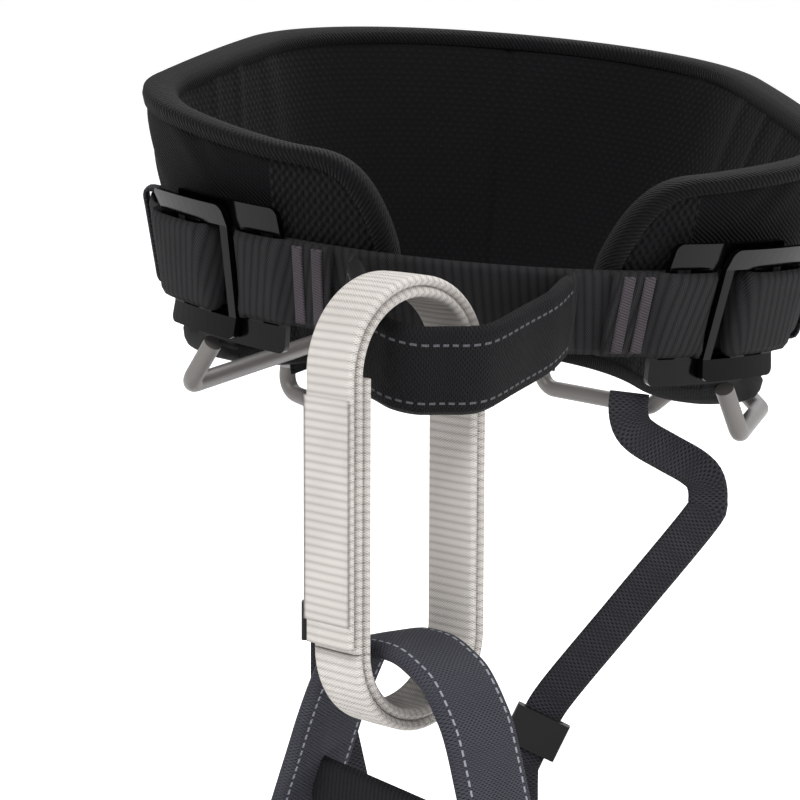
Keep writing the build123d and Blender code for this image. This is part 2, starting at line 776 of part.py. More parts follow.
leg_frame_bars = [
    (leg_buckle_start, leg_buckle_start + leg_end_bar / 2),
    (leg_fixed_bar - leg_web_bar / 2, leg_fixed_bar + leg_web_bar / 2),
    (leg_buckle_end - leg_end_bar, leg_buckle_end),
]
leg_slider_bar = leg_slider_start + leg_front_bar + leg_slot
leg_slider_bars = [
    (leg_slider_start, leg_slider_start + leg_front_bar),
    (leg_slider_bar, leg_slider_bar + leg_web_bar),
    (leg_slider_end - leg_end_bar, leg_slider_end),
]
both_legs("buckle_frame", curved_plate(
    leg, leg_buckle_start, leg_buckle_end, leg_buckle_height, leg_buckle_window, leg_rail_rise,
    leg_frame_in, leg_frame_out, leg_frame_bars, 0.0, leg_plane,
))
both_legs("buckle_slider", curved_plate(
    leg, leg_slider_start, leg_slider_end, leg_slider_height, leg_buckle_window,
    leg_rail_rise + layer_gap, leg_slider_in, leg_slider_out, leg_slider_bars, 0.0, leg_plane,
))

leg_keeper_place = radians(90) * leg_radius + 12
with BuildPart() as leg_keeper:
    start, end = leg_keeper_place - keeper_width / 2, leg_keeper_place + keeper_width / 2
    outside = leg_tail_out + layer_gap
    reach = half_leg_web + layer_gap
    leg_band(start, end, outside, outside + keeper_wall, -reach - keeper_wall, reach + keeper_wall)
    for low in (-reach - keeper_wall, reach):
        leg_band(start, end, leg_shell_out + layer_gap, outside, low, low + keeper_wall)
both_legs("keeper", leg_keeper)

leg_hook_top = 26.0
with BuildPart() as leg_hook_tab:
    start, end = leg_hook_place - gear_tab_width / 2, leg_hook_place + gear_tab_width / 2
    leg_band(start, end, leg_shell_out, leg_shell_out + tab_thickness, half_leg_web + layer_gap, leg_hook_top)
both_legs("hook_tab", leg_hook_tab)


# ---- gear loops: stiff tubes hung between two tabs on each side ----
def tab(place, width, low, high):
    belt_band(place - width / 2, place + width / 2, shell_out, shell_out + tab_thickness, low, high)


def gear_loop(route):
    """A tube bent at each inner point of its route."""
    with BuildPart() as loop:
        with BuildLine():
            spot = route[0]
            for before, corner, after in zip(route, route[1:], route[2:]):
                arriving = (corner - before).normalized()
                leaving = (after - corner).normalized()
                reach = gear_bend * tan(radians(arriving.get_angle(leaving) / 2))
                Line(spot, corner - arriving * reach)
                TangentArc(corner - arriving * reach, corner + leaving * reach, tangent=arriving)
                spot = corner + leaving * reach
            Line(spot, route[-1])
        with BuildSketch(Plane(origin=route[0], z_dir=route[1] - route[0])):
            Circle(gear_tube / 2)
        sweep()
    return loop


gear_front = belt_point(gear_front_place, gear_clear, gear_front_z)
left_gear_back = belt_point(left_gear_back_place, gear_clear, gear_back_z)
gear_loop_left = gear_loop([
    gear_front, Vector(79, -68, -38), Vector(88, -15, -42), Vector(75, 36, -38), Vector(57.3, 56, -60.6),
    left_gear_back - Vector(0, 0, gear_drop), left_gear_back,
])
finish("gear_loop_left", gear_loop_left)

right_gear_back = belt_point(right_gear_back_place, gear_clear, gear_back_z)
gear_loop_right = mirrored(gear_loop([
    gear_front, Vector(80, -70, -38), Vector(48.5, 20, -40), Vector(49, 30, -64),
    right_gear_back - Vector(0, 0, gear_drop), right_gear_back,
]))
finish("gear_loop_right", gear_loop_right)

gear_tabs = (
    (gear_front_place, gear_front_z), (left_gear_back_place, gear_back_z),
    (belt_length - gear_front_place, gear_front_z), (belt_length - right_gear_back_place, gear_back_z),
)
with BuildPart() as gear_loop_tabs:
    for place, height in gear_tabs:
        tab(place, gear_tab_width, height - 1, -half_web - layer_gap)
finish("gear_loop_tabs", gear_loop_tabs)

# ---- haul loop at the middle of the back ----
back_place = belt_length / 2
with BuildPart() as haul_loop:
    stand = shell_out + tab_thickness + layer_gap + haul_thickness / 2
    top = belt_point(back_place, stand, 17)
    foot = belt_point(back_place, stand, -27)
    back_view = Plane(origin=(0, 0, 0), x_dir=(0, 1, 0), z_dir=(1, 0, 0))
    route = [
        (top.Y, top.Z), (top.Y + 0.8 * haul_reach, 10), (top.Y + haul_reach, -12),
        (foot.Y + 0.5 * haul_reach, -26), (foot.Y, foot.Z),
    ]
    ribbon_solid(back_view, route, 4.0, haul_thickness, haul_width)
finish("haul_loop", haul_loop)

with BuildPart() as haul_loop_tabs:
    tab(back_place, haul_width + 4, half_web + layer_gap, 23)
    tab(back_place, haul_width + 4, -33, -half_web - layer_gap)
finish("haul_loop_tabs", haul_loop_tabs)

# ---- risers: elastic straps from the back of the belt to the back of the leg loops ----
with BuildPart() as riser_anchors:
    for place in (riser_anchor_place, belt_length - riser_anchor_place):
        tab(place, 7, riser_top + 4 * layer_gap, -half_web - layer_gap)
finish("riser_anchors", riser_anchors)

riser_lean = atan2(riser_y - riser_foot_y, riser_top - riser_end)
riser_drop = (riser_end - riser_top) / cos(riser_lean)
riser_plane = Plane(
    origin=(0, riser_y, riser_top), x_dir=(1, 0, 0), z_dir=(0, -cos(riser_lean), sin(riser_lean))
)
riser_routes = {
    "left": [(50, 0), (50, -12), (80, -26), (78, -38), (34, -104), (25, -128)],
    "right": [(-50, 0), (-44, -60), (-40, -110)],
}
adjuster_spots = {"left": ((34, -104), (25, -128)), "right": ((-44, -60), (-40, -110))}
for side, route in riser_routes.items():
    foot_x = riser_foot_x if side == "left" else -riser_foot_x
    with BuildPart() as riser:
        ribbon_solid(riser_plane, route + [(foot_x, riser_drop)], 10.0, riser_width, riser_thickness)
    finish("riser_" + side, riser)

    (x0, w0), (x1, w1) = adjuster_spots[side]
    first, last = (riser_plane.from_local_coords(Vector(x, w, 0)) for x, w in ((x0, w0), (x1, w1)))
    with BuildPart() as adjuster:
        with BuildSketch(Plane(origin=(first + last) * 0.5, x_dir=riser_plane.z_dir, z_dir=last - first)):
            RectangleRounded(adjuster_thickness, adjuster_width, 1.2)
            Rectangle(riser_thickness + 2 * layer_gap, riser_width + 2 * layer_gap, mode=Mode.SUBTRACT)
        extrude(amount=adjuster_length / 2, both=True)
    finish("riser_adjuster_" + side, adjuster)

    with BuildPart() as hook:
        with BuildSketch(riser_plane):
            with Locations((foot_x, riser_drop - hook_length / 2)):
                RectangleRounded(hook_width, hook_length, 1.5)
        extrude(amount=hook_thickness / 2, both=True)
        add(riser.part, mode=Mode.SUBTRACT)
    finish("riser_hook_" + side, hook)
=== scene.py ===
import math

import bmesh
import bpy
import numpy as np
from mathutils import Matrix, Vector


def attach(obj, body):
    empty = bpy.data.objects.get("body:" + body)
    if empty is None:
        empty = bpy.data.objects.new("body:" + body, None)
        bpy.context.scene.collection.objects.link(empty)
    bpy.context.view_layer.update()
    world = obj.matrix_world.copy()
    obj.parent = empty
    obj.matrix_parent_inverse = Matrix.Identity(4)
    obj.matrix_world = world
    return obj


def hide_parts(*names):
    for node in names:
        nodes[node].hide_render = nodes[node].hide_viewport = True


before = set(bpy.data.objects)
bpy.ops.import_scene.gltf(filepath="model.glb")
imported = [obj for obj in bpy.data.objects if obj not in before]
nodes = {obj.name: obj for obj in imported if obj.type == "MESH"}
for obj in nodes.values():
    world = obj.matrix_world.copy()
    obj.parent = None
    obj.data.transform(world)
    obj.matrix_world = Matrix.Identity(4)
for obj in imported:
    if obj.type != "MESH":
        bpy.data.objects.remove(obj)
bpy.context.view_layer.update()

mm = 0.001
up = Vector((0, 0, 1))


# ---- waist pad ----
# A foam pad in black nylon that wraps the hips and is open at the front. The cloth is drawn over the
# foam and sewn at the edge, so it swells inwards from there, and it pleats a little at the wings.

# The belt line that the pad follows: a front arc, a hip, a straight side and a back arc, mirrored.
waist_front, hip_x, hip_y, hip_r, back_y, back_r = 0.103, 0.044, -0.038, 0.044, 0.020, 0.070
ahead = hip_y + waist_front
front_r = (hip_x**2 + ahead**2 - hip_r**2) / (2 * (ahead - hip_r))
front_y = front_r - waist_front
front_turn = math.atan2(hip_x, front_y - hip_y)
side_turn = math.atan2(back_y - hip_y, -hip_x)
side_turn -= math.acos((hip_r - back_r) / math.hypot(back_y - hip_y, hip_x))
hip_end = Vector((hip_x + hip_r * math.cos(side_turn), hip_y + hip_r * math.sin(side_turn)))
back_start = Vector((back_r * math.cos(side_turn), back_y + back_r * math.sin(side_turn)))
runs = [
    front_r * front_turn, hip_r * (side_turn + math.pi / 2 - front_turn),
    (back_start - hip_end).length, back_r * (math.pi / 2 - side_turn),
]
belt_half = sum(runs)
flare = math.tan(math.radians(13))


def belt_spot(place, offset, height):
    """A point on the flared belt: along it from the front, out from it, and up."""
    s = place % (2 * belt_half)
    flip = 1
    if s > belt_half:
        s = 2 * belt_half - s
        flip = -1
    reach = offset + height * flare
    if s < runs[0]:
        turn, radius, cx, cy = s / front_r - math.pi / 2, front_r, 0, front_y
    elif s < runs[0] + runs[1]:
        turn, radius, cx, cy = front_turn - math.pi / 2 + (s - runs[0]) / hip_r, hip_r, hip_x, hip_y
    elif s < runs[0] + runs[1] + runs[2]:
        spot = hip_end.lerp(back_start, (s - runs[0] - runs[1]) / runs[2])
        turn, radius, cx, cy = side_turn, 0, spot.x, spot.y
    else:
        turn, radius, cx, cy = side_turn + (s - belt_half + runs[3]) / back_r, back_r, 0, back_y
    x, y = cx + (radius + reach) * math.cos(turn), cy + (radius + reach) * math.sin(turn)
    return Vector((flip * x, y, height))


def effect(name, inputs, outputs):
    """An empty node group with named inputs and outputs."""
    group = bpy.data.node_groups.new(name, "ShaderNodeTree")
    for label, kind, value in inputs:
        socket = group.interface.new_socket(label, in_out="INPUT", socket_type=kind)
        if value is not None:
            socket.default_value = value
    for label, kind in outputs:
        group.interface.new_socket(label, in_out="OUTPUT", socket_type=kind)
    return group, group.nodes.new("NodeGroupInput"), group.nodes.new("NodeGroupOutput")


def maths(tree, operation, *values):
    """A maths node fed by sockets or numbers."""
    node = tree.nodes.new("ShaderNodeMath")
    node.operation = operation
    for slot, value in zip(node.inputs, values):
        if isinstance(value, (int, float)):
            slot.default_value = value
        else:
            tree.links.new(value, slot)
    return node.outputs[0]


# Ribs: waves along the strap that lean across it, broken into threads by a finer cross wave.
ribs, ribs_in, ribs_out = effect(
    "woven_ribs",
    [("Vector", "NodeSocketVector", None), ("Rib pitch", "NodeSocketFloat", 0.0025),
     ("Lean", "NodeSocketFloat", 0.2), ("Thread pitch", "NodeSocketFloat", 0.0007),
     ("Thread share", "NodeSocketFloat", 0.4)],
    [("Height", "NodeSocketFloat")],
)
parts = ribs.nodes.new("ShaderNodeSeparateXYZ")
ribs.links.new(ribs_in.outputs["Vector"], parts.inputs[0])
leaning = maths(ribs, "ADD", parts.outputs[0],
                maths(ribs, "MULTIPLY", parts.outputs[1], ribs_in.outputs["Lean"]))
rib = maths(ribs, "SINE",
            maths(ribs, "DIVIDE", maths(ribs, "MULTIPLY", leaning, 2 * math.pi),
                  ribs_in.outputs["Rib pitch"]))
thread = maths(ribs, "SINE",
               maths(ribs, "DIVIDE", maths(ribs, "MULTIPLY", parts.outputs[1], 2 * math.pi),
                     ribs_in.outputs["Thread pitch"]))
cross = maths(ribs, "SINE",
              maths(ribs, "DIVIDE", maths(ribs, "MULTIPLY", leaning, 3 * math.pi),
                    ribs_in.outputs["Thread pitch"]))
weave = maths(ribs, "MULTIPLY", maths(ribs, "MULTIPLY", thread, cross), ribs_in.outputs["Thread share"])
total = maths(ribs, "ADD", maths(ribs, "ABSOLUTE", rib), weave)
ribs.links.new(total, ribs_out.inputs["Height"])

# Twill: fine diagonal ridges, each cut into short floats.
twill, twill_in, twill_out = effect(
    "twill",
    [("Vector", "NodeSocketVector", None), ("Pitch", "NodeSocketFloat", 0.0009),
     ("Slope", "NodeSocketFloat", 0.8)],
    [("Height", "NodeSocketFloat")],
)
parts = twill.nodes.new("ShaderNodeSeparateXYZ")
twill.links.new(twill_in.outputs["Vector"], parts.inputs[0])
diagonal = maths(twill, "ADD", maths(twill, "MULTIPLY", parts.outputs[0], twill_in.outputs["Slope"]),
                 parts.outputs[1])
ridge = maths(twill, "SINE",
              maths(twill, "DIVIDE", maths(twill, "MULTIPLY", diagonal, 2 * math.pi),
                    twill_in.outputs["Pitch"]))
float_wave = maths(twill, "SINE",
                   maths(twill, "DIVIDE", maths(twill, "MULTIPLY", parts.outputs[0], 2 * math.pi),
                         twill_in.outputs["Pitch"]))
twill.links.new(maths(twill, "ADD", ridge, maths(twill, "MULTIPLY", float_wave, 0.35)),
                twill_out.inputs["Height"])


def linear(r, g, b):
    """A screen colour, 0 to 255, as the shader's own."""
    return [((c / 255 + 0.055) / 1.055) ** 2.4 if c > 10 else c / 255 / 12.92 for c in (r, g, b)] + [1]


def finish_of(name, colour, roughness, sheen=0.0, specular=0.4):
    """A principled material with its own grain still to come."""
    material = bpy.data.materials.new(name)
    material.use_nodes = True
    shader = material.node_tree.nodes["Principled BSDF"]
    shader.inputs["Base Color"].default_value = linear(*colour)
    shader.inputs["Roughness"].default_value = roughness
    shader.inputs["Specular IOR Level"].default_value = specular
    shader.inputs["Sheen Weight"].default_value = sheen
    shader.inputs["Sheen Roughness"].default_value = 0.5
    return material, material.node_tree, shader


def cloth(name, colour, painted_crest_highlight, grain, values, depth, roughness=0.8, sheen=0.1, row=None,
          thread=(120, 118, 120), fuzz=0.25):
    """Woven material on the piece's own weave coordinates: a grain group drives the relief, and its height
    also paints the colour, lighter on raised threads as painted highlight and darker in the grooves as
    painted shade.
    """
    material, tree, shader = finish_of(name, colour, roughness, sheen, 0.08)
    where = tree.nodes.new("ShaderNodeUVMap")
    where.uv_map = "weave"
    woven = tree.nodes.new("ShaderNodeGroup")
    woven.node_tree = grain
    tree.links.new(where.outputs[0], woven.inputs["Vector"])
    for label, value in values.items():
        woven.inputs[label].default_value = value
    body = tree.nodes.new("ShaderNodeTexCoord")
    noise = tree.nodes.new("ShaderNodeTexNoise")
    noise.inputs["Scale"].default_value = 900
    noise.inputs["Detail"].default_value = 3
    tree.links.new(body.outputs["Object"], noise.inputs["Vector"])
    broad = tree.nodes.new("ShaderNodeTexNoise")
    broad.inputs["Scale"].default_value = 45
    tree.links.new(body.outputs["Object"], broad.inputs["Vector"])
    height = maths(tree, "ADD", woven.outputs[0], maths(tree, "MULTIPLY", noise.outputs[0], fuzz))
    # Painted light: the weave's height blends the colour from the dark one in the grooves (painted shade)
    # to the light one on the crests (painted highlight); the broad noise below adds random tone.
    painted_relief_shading = tree.nodes.new("ShaderNodeMapRange")
    painted_relief_shading.inputs["From Min"].default_value = -0.4
    painted_relief_shading.inputs["From Max"].default_value = 1.3
    tree.links.new(height, painted_relief_shading.inputs["Value"])
    shade = maths(tree, "MULTIPLY", painted_relief_shading.outputs[0],
                  maths(tree, "ADD", maths(tree, "MULTIPLY", broad.outputs[0], 0.6), 0.7))
    mix = tree.nodes.new("ShaderNodeMix")
    mix.data_type = "RGBA"
    mix.inputs[6].default_value = linear(*colour)
    mix.inputs[7].default_value = linear(*painted_crest_highlight)
    tree.links.new(shade, mix.inputs[0])
    colour_out = mix.outputs[2]
    if row:
        sewn = tree.nodes.new("ShaderNodeGroup")
        sewn.node_tree = stitch
        sewn.inputs["Row"].default_value = row
        tree.links.new(where.outputs[0], sewn.inputs["Vector"])
        over = tree.nodes.new("ShaderNodeMix")
        over.data_type = "RGBA"
        over.inputs[7].default_value = linear(*thread)
        tree.links.new(colour_out, over.inputs[6])
        tree.links.new(sewn.outputs[0], over.inputs[0])
        colour_out = over.outputs[2]
        height = maths(tree, "ADD", height, maths(tree, "MULTIPLY", sewn.outputs[0], 0.8))
    tree.links.new(colour_out, shader.inputs["Base Color"])
    relief = tree.nodes.new("ShaderNodeBump")
    relief.inputs["Distance"].default_value = depth
    relief.inputs["Strength"].default_value = 0.8
    tree.links.new(height, relief.inputs["Height"])
    tree.links.new(relief.outputs[0], shader.inputs["Normal"])
    return material


# In each cloth below, the second colour is the painted highlight on raised threads; the first is the base
# colour and also stands for the painted shade in the grooves.
shell_cloth = cloth("shell_cloth", (4, 4, 5), (13, 13, 15), twill, {"Pitch": 0.0013, "Slope": 0.8}, 0.0002,
                    sheen=0.0, fuzz=0.5)
nose_cloth = cloth("nose_cloth", (3, 3, 4), (14, 14, 16), ribs,
                   {"Rib pitch": 0.0034, "Lean": 0.0, "Thread pitch": 0.0034, "Thread share": 1.6}, 0.0003,
                   sheen=0.02)

pad_start = 0.0335
pad_end = 2 * belt_half - 0.0202
seam_inset, pad_skin, pad_swell, pad_inner = 0.0012, 0.0022, 0.0018, -0.0033


def pad_limits(place):
    """Bottom and top heights of the waist pad at a place along the belt."""
    y = belt_spot(place, 0, 0).y - hip_y
    top = min(0.045 + 0.114 * y - 0.396 * y * y, 0.0535) if y > -0.052 else 0.038
    bottom = -0.034 - 0.3446 * y + 1.718 * y * y if y > -0.048 else -0.0135
    for from_tip in (place - pad_start, pad_end - place):
        share = min(1.0, max(0.0, from_tip / 0.030))
        top = min(top, 0.012 + 0.0265 * (1 - (1 - share) ** 3.8) + (0.02 if share == 1 else 0))
    return max(bottom, -0.0505), top


def surface(name, columns, rows, inner, outer, uv, materials, body, hides, pick=None):
    """A padded slab: an outer and an inner sheet over the same grid, joined round the rim."""
    mesh = bmesh.new()
    weave = mesh.loops.layers.uv.new("weave")
    sheets = [[[mesh.verts.new(side(u, v)) for v in rows] for u in columns] for side in (outer, inner)]
    marks = {}
    for sheet in sheets:
        for i, u in enumerate(columns):
            for j, v in enumerate(rows):
                marks[sheet[i][j]] = uv(u, v)
    last_i, last_j = len(columns) - 1, len(rows) - 1
    for k, sheet in enumerate(sheets):
        for i in range(last_i):
            for j in range(last_j):
                face = mesh.faces.new([sheet[i][j], sheet[i + 1][j], sheet[i + 1][j + 1], sheet[i][j + 1]])
                face.material_index = pick(columns[i], rows[j], k) if pick else 0
    rim = [(i, 0) for i in range(last_i)] + [(last_i, j) for j in range(last_j)]
    rim += [(i, last_j) for i in range(last_i, 0, -1)] + [(0, j) for j in range(last_j, 0, -1)]
    for (i, j), (i2, j2) in zip(rim, rim[1:] + rim[:1]):
        mesh.faces.new([sheets[0][i][j], sheets[0][i2][j2], sheets[1][i2][j2], sheets[1][i][j]])
    for face in mesh.faces:
        face.smooth = True
        for loop in face.loops:
            loop[weave].uv = marks[loop.vert]
    bmesh.ops.recalc_face_normals(mesh, faces=mesh.faces)
    data = bpy.data.meshes.new(name)
    mesh.to_mesh(data)
    mesh.free()
    piece = bpy.data.objects.new(name, data)
    bpy.context.scene.collection.objects.link(piece)
    for material in materials:
        data.materials.append(material)
    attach(piece, body)
    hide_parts(*hides)
    return piece


def pad_height(place, share, inset):
    """A height on the waist pad: share 0 at its bottom and 1 at its top."""
    bottom, top = pad_limits(place)
    return bottom + inset + (top - bottom - 2 * inset) * share


def plump(place, height, reach=0.010):
    """0 at the pad's edge and 1 well inside it."""
    bottom, top = pad_limits(place)
    inside = min(height - bottom, top - height, place - pad_start, pad_end - place)
    share = min(1.0, max(0.0, inside / reach))
    return 1 - (1 - share) ** 2


def wing_pleats(place, height):
    """Soft pleats in the outer fabric that run down towards the front."""
    from_front = min(place, 2 * belt_half - place)
    shade = max(0.0, 1 - abs(from_front - 0.085) / 0.07) * min(1.0, max(0.0, (height - 0.012) / 0.008))
    phase = (from_front - 0.9 * height) / 0.017
    return 0.0006 * shade * (abs(math.sin(math.pi * phase + 0.7 * math.sin(phase * 2.3))) ** 2.2 - 0.3)


def pad_outside(place, share):
    """The shell's face: swollen by the foam, pleated at the wings and a little uneven."""
    height = pad_height(place, share, seam_inset)
    offset = pad_skin + pad_swell * plump(place, height) + wing_pleats(place, height)
    offset += 0.00025 * math.sin(place * 210) * math.sin(height * 160 + place * 40)
    return belt_spot(place, offset, height)


def pad_inside(place, share):
    """The foam's inner face, which the lining covers."""
    return belt_spot(place, pad_inner, pad_height(place, share, seam_inset))


columns = list(np.linspace(pad_start + 0.001, pad_end - 0.001, 420))
rows = list(np.linspace(0, 1, 44))
nose_end = 0.056
waist_pad = surface(
    "waist_pad", columns, rows, pad_inside, pad_outside, lambda u, v: (u, pad_height(u, v, 0)),
    [shell_cloth, nose_cloth], "waist_belt", ["waist_foam", "waist_outer_shell"],
    pick=lambda u, v, k: 1 if k == 0 and min(u, 2 * belt_half - u) < nose_end else 0,
)


# ---- pad lining ----
# Spacer mesh against the body, sewn to the pad's inner face along its edge.
# It wrinkles where the sides bend, and has a seam at the middle of the back.

# Rows of small knots, every second row shifted; through the cloth's height blend the knots get the painted
# highlight colour and the ground between them the darker one, as painted shade.
dots, dots_in, dots_out = effect(
    "mesh_dots",
    [("Vector", "NodeSocketVector", None), ("Pitch", "NodeSocketFloat", 0.003),
     ("Size", "NodeSocketFloat", 0.3)],
    [("Dot", "NodeSocketFloat")],
)
parts = dots.nodes.new("ShaderNodeSeparateXYZ")
dots.links.new(dots_in.outputs["Vector"], parts.inputs[0])
row = maths(dots, "DIVIDE", parts.outputs[1], maths(dots, "MULTIPLY", dots_in.outputs["Pitch"], 0.62))
odd = maths(dots, "MULTIPLY", maths(dots, "MODULO", maths(dots, "FLOOR", row), 2.0), 0.5)
column = maths(dots, "ADD", maths(dots, "DIVIDE", parts.outputs[0], dots_in.outputs["Pitch"]), odd)
dx = maths(dots, "SUBTRACT", maths(dots, "FRACT", column), 0.5)
dy = maths(dots, "MULTIPLY", maths(dots, "SUBTRACT", maths(dots, "FRACT", row), 0.5), 0.75)
spread = maths(dots, "SQRT",
               maths(dots, "ADD", maths(dots, "MULTIPLY", dx, dx), maths(dots, "MULTIPLY", dy, dy)))
edge = dots.nodes.new("ShaderNodeMapRange")
edge.interpolation_type = "SMOOTHSTEP"
dots.links.new(spread, edge.inputs["Value"])
dots.links.new(dots_in.outputs["Size"], edge.inputs["From Min"])
edge.inputs["From Max"].default_value = 0.08
dots.links.new(edge.outputs[0], dots_out.inputs["Dot"])

mesh_cloth = cloth("mesh_cloth", (4, 4, 5), (14, 14, 16), dots, {"Pitch": 0.003, "Size": 0.34}, 0.0003,
                   sheen=0.02, fuzz=0.2)

mesh_face, mesh_back = -0.0046, -0.0036


def lining_face(place, share):
    """The mesh against the body: wrinkles at the sides, and a seam at the middle of the back."""
    height = pad_height(place, share, seam_inset)
    from_front = min(place, 2 * belt_half - place)
    wrinkled = math.exp(-(((from_front - 0.175) / 0.045) ** 2))
    fold = math.sin((place * 260 + height * 50) + 1.4 * math.sin(place * 71 + height * 33))
    seam = math.exp(-(((place - belt_half) / 0.0012) ** 2))
    offset = mesh_face - 0.0005 * plump(place, height) + 0.0009 * seam
    offset -= 0.0007 * wrinkled * max(0.0, fold) ** 1.5 + 0.00015 * math.sin(place * 130 + height * 90)
    return belt_spot(place, offset, height)


waist_lining = surface(
    "waist_lining", columns, rows, lining_face,
    lambda u, v: belt_spot(u, mesh_back, pad_height(u, v, seam_inset)),
    lambda u, v: (u, pad_height(u, v, 0)), [mesh_cloth], "waist_belt", ["waist_mesh_lining"],
)


# ---- edge tape ----
# Nylon tape folded over the pad's edge and sewn through all its layers, so that shell, foam and mesh
# are caught together. It is one U section carried round the pad's outline.
tape_cloth = cloth("tape_cloth", (4, 4, 5), (16, 16, 18), twill, {"Pitch": 0.0018, "Slope": 1.4}, 0.0002,
                   sheen=0.02)


def rounded_loop(points, rounds=10):
    """An even closed loop with its corners softened."""
    points = points + points[:1]
    lengths = np.concatenate([[0], np.cumsum([math.dist(p, q) for p, q in zip(points, points[1:])])])
    wanted = np.linspace(0, lengths[-1], int(lengths[-1] / 0.0016), endpoint=False)
    flat = np.array(points)
    loop = np.stack([np.interp(wanted, lengths, flat[:, axis]) for axis in range(2)], 1)
    for _ in range(rounds):
        loop = (np.roll(loop, 1, 0) + 2 * loop + np.roll(loop, -1, 0)) / 4
    return loop


def edge_tape(name, loop, spot, section, material, body, hides):
    """Tape folded over an edge: a U section carried round a loop drawn on the pad."""
    mesh = bmesh.new()
    weave = mesh.loops.layers.uv.new("weave")
    along = np.roll(loop, -1, 0) - np.roll(loop, 1, 0)
    along /= np.linalg.norm(along, axis=1)[:, None]
    turning = np.sum(loop[:, 0] * np.roll(loop[:, 1], -1) - loop[:, 1] * np.roll(loop[:, 0], -1))
    outward = np.stack([along[:, 1], -along[:, 0]], 1) * (1 if turning > 0 else -1)
    rings = []
    for (s, h), (ds, dh) in zip(loop, outward):
        ring = [spot(s + reach * ds, offset, h + reach * dh) for reach, offset in section]
        rings.append([mesh.verts.new(place) for place in ring])
    lengths = [0.0]
    for reach, offset in zip(section, section[1:] + section[:1]):
        lengths.append(lengths[-1] + math.dist(reach, offset))
    pitch = 0.0016
    for i in range(len(rings)):
        j = (i + 1) % len(rings)
        for k in range(len(section)):
            k2 = (k + 1) % len(section)
            face = mesh.faces.new([rings[i][k], rings[j][k], rings[j][k2], rings[i][k2]])
            face.smooth = True
            marks = [(i, k), (i + 1, k), (i + 1, k + 1), (i, k + 1)]
            for corner, (a, b) in zip(face.loops, marks):
                corner[weave].uv = (a * pitch, lengths[b])
    bmesh.ops.recalc_face_normals(mesh, faces=mesh.faces)
    data = bpy.data.meshes.new(name)
    mesh.to_mesh(data)
    mesh.free()
    piece = bpy.data.objects.new(name, data)
    bpy.context.scene.collection.objects.link(piece)
    data.materials.append(material)
    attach(piece, body)
    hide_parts(*hides)
    return piece


tape_section = [
    (-0.0042, 0.0046), (-0.002, 0.0047), (-0.0006, 0.0042), (0.0002, 0.0024), (0.0004, -0.0006),
    (0.0001, -0.0036), (-0.0008, -0.0052), (-0.002, -0.0057), (-0.0042, -0.0056), (-0.0042, -0.0048),
    (-0.0016, -0.0046), (-0.0008, -0.003), (-0.0006, 0.0018), (-0.0014, 0.0034), (-0.0042, 0.0037),
]
edge = [(s, pad_limits(s)[1]) for s in np.linspace(pad_start, pad_end, 200)]
edge += [(s, pad_limits(s)[0]) for s in np.linspace(pad_end, pad_start, 200)]
edge_tape("waist_edge_tape", rounded_loop(edge), belt_spot, tape_section, tape_cloth, "waist_belt",
          ["waist_binding"])


# ---- belt webbing ----
# Ribbed nylon webbing: a long strap round the back, a front strap folded back through both buckles,
# and the strap's free tails. Each is one ribbon swept along its route.
webbing_cloth = cloth("waist_webbing_cloth", (8, 8, 9), (48, 47, 49), ribs,
                      {"Rib pitch": 0.0050, "Lean": 0.16, "Thread pitch": 0.0009, "Thread share": 0.55},
                      0.0009, sheen=0.02)


def smooth_route(points, step=0.0012):
    """Evenly spaced points on a smooth curve through the given ones."""
    points = [Vector(p) for p in points]
    padded = [2 * points[0] - points[1], *points, 2 * points[-1] - points[-2]]
    line = []
    for a, b, c, d in zip(padded, padded[1:], padded[2:], padded[3:]):
        for k in range(12):
            t = k / 12
            line.append(0.5 * (2 * b + (c - a) * t + (2 * a - 5 * b + 4 * c - d) * t**2
                               + (3 * b - a - 3 * c + d) * t**3))
    line.append(points[-1])
    lengths = np.concatenate([[0], np.cumsum([(q - p).length for p, q in zip(line, line[1:])])])
    wanted = np.linspace(0, lengths[-1], max(4, int(lengths[-1] / step)))
    flat = np.array(line)
    return [Vector([np.interp(w, lengths, flat[:, axis]) for axis in range(3)]) for w in wanted]


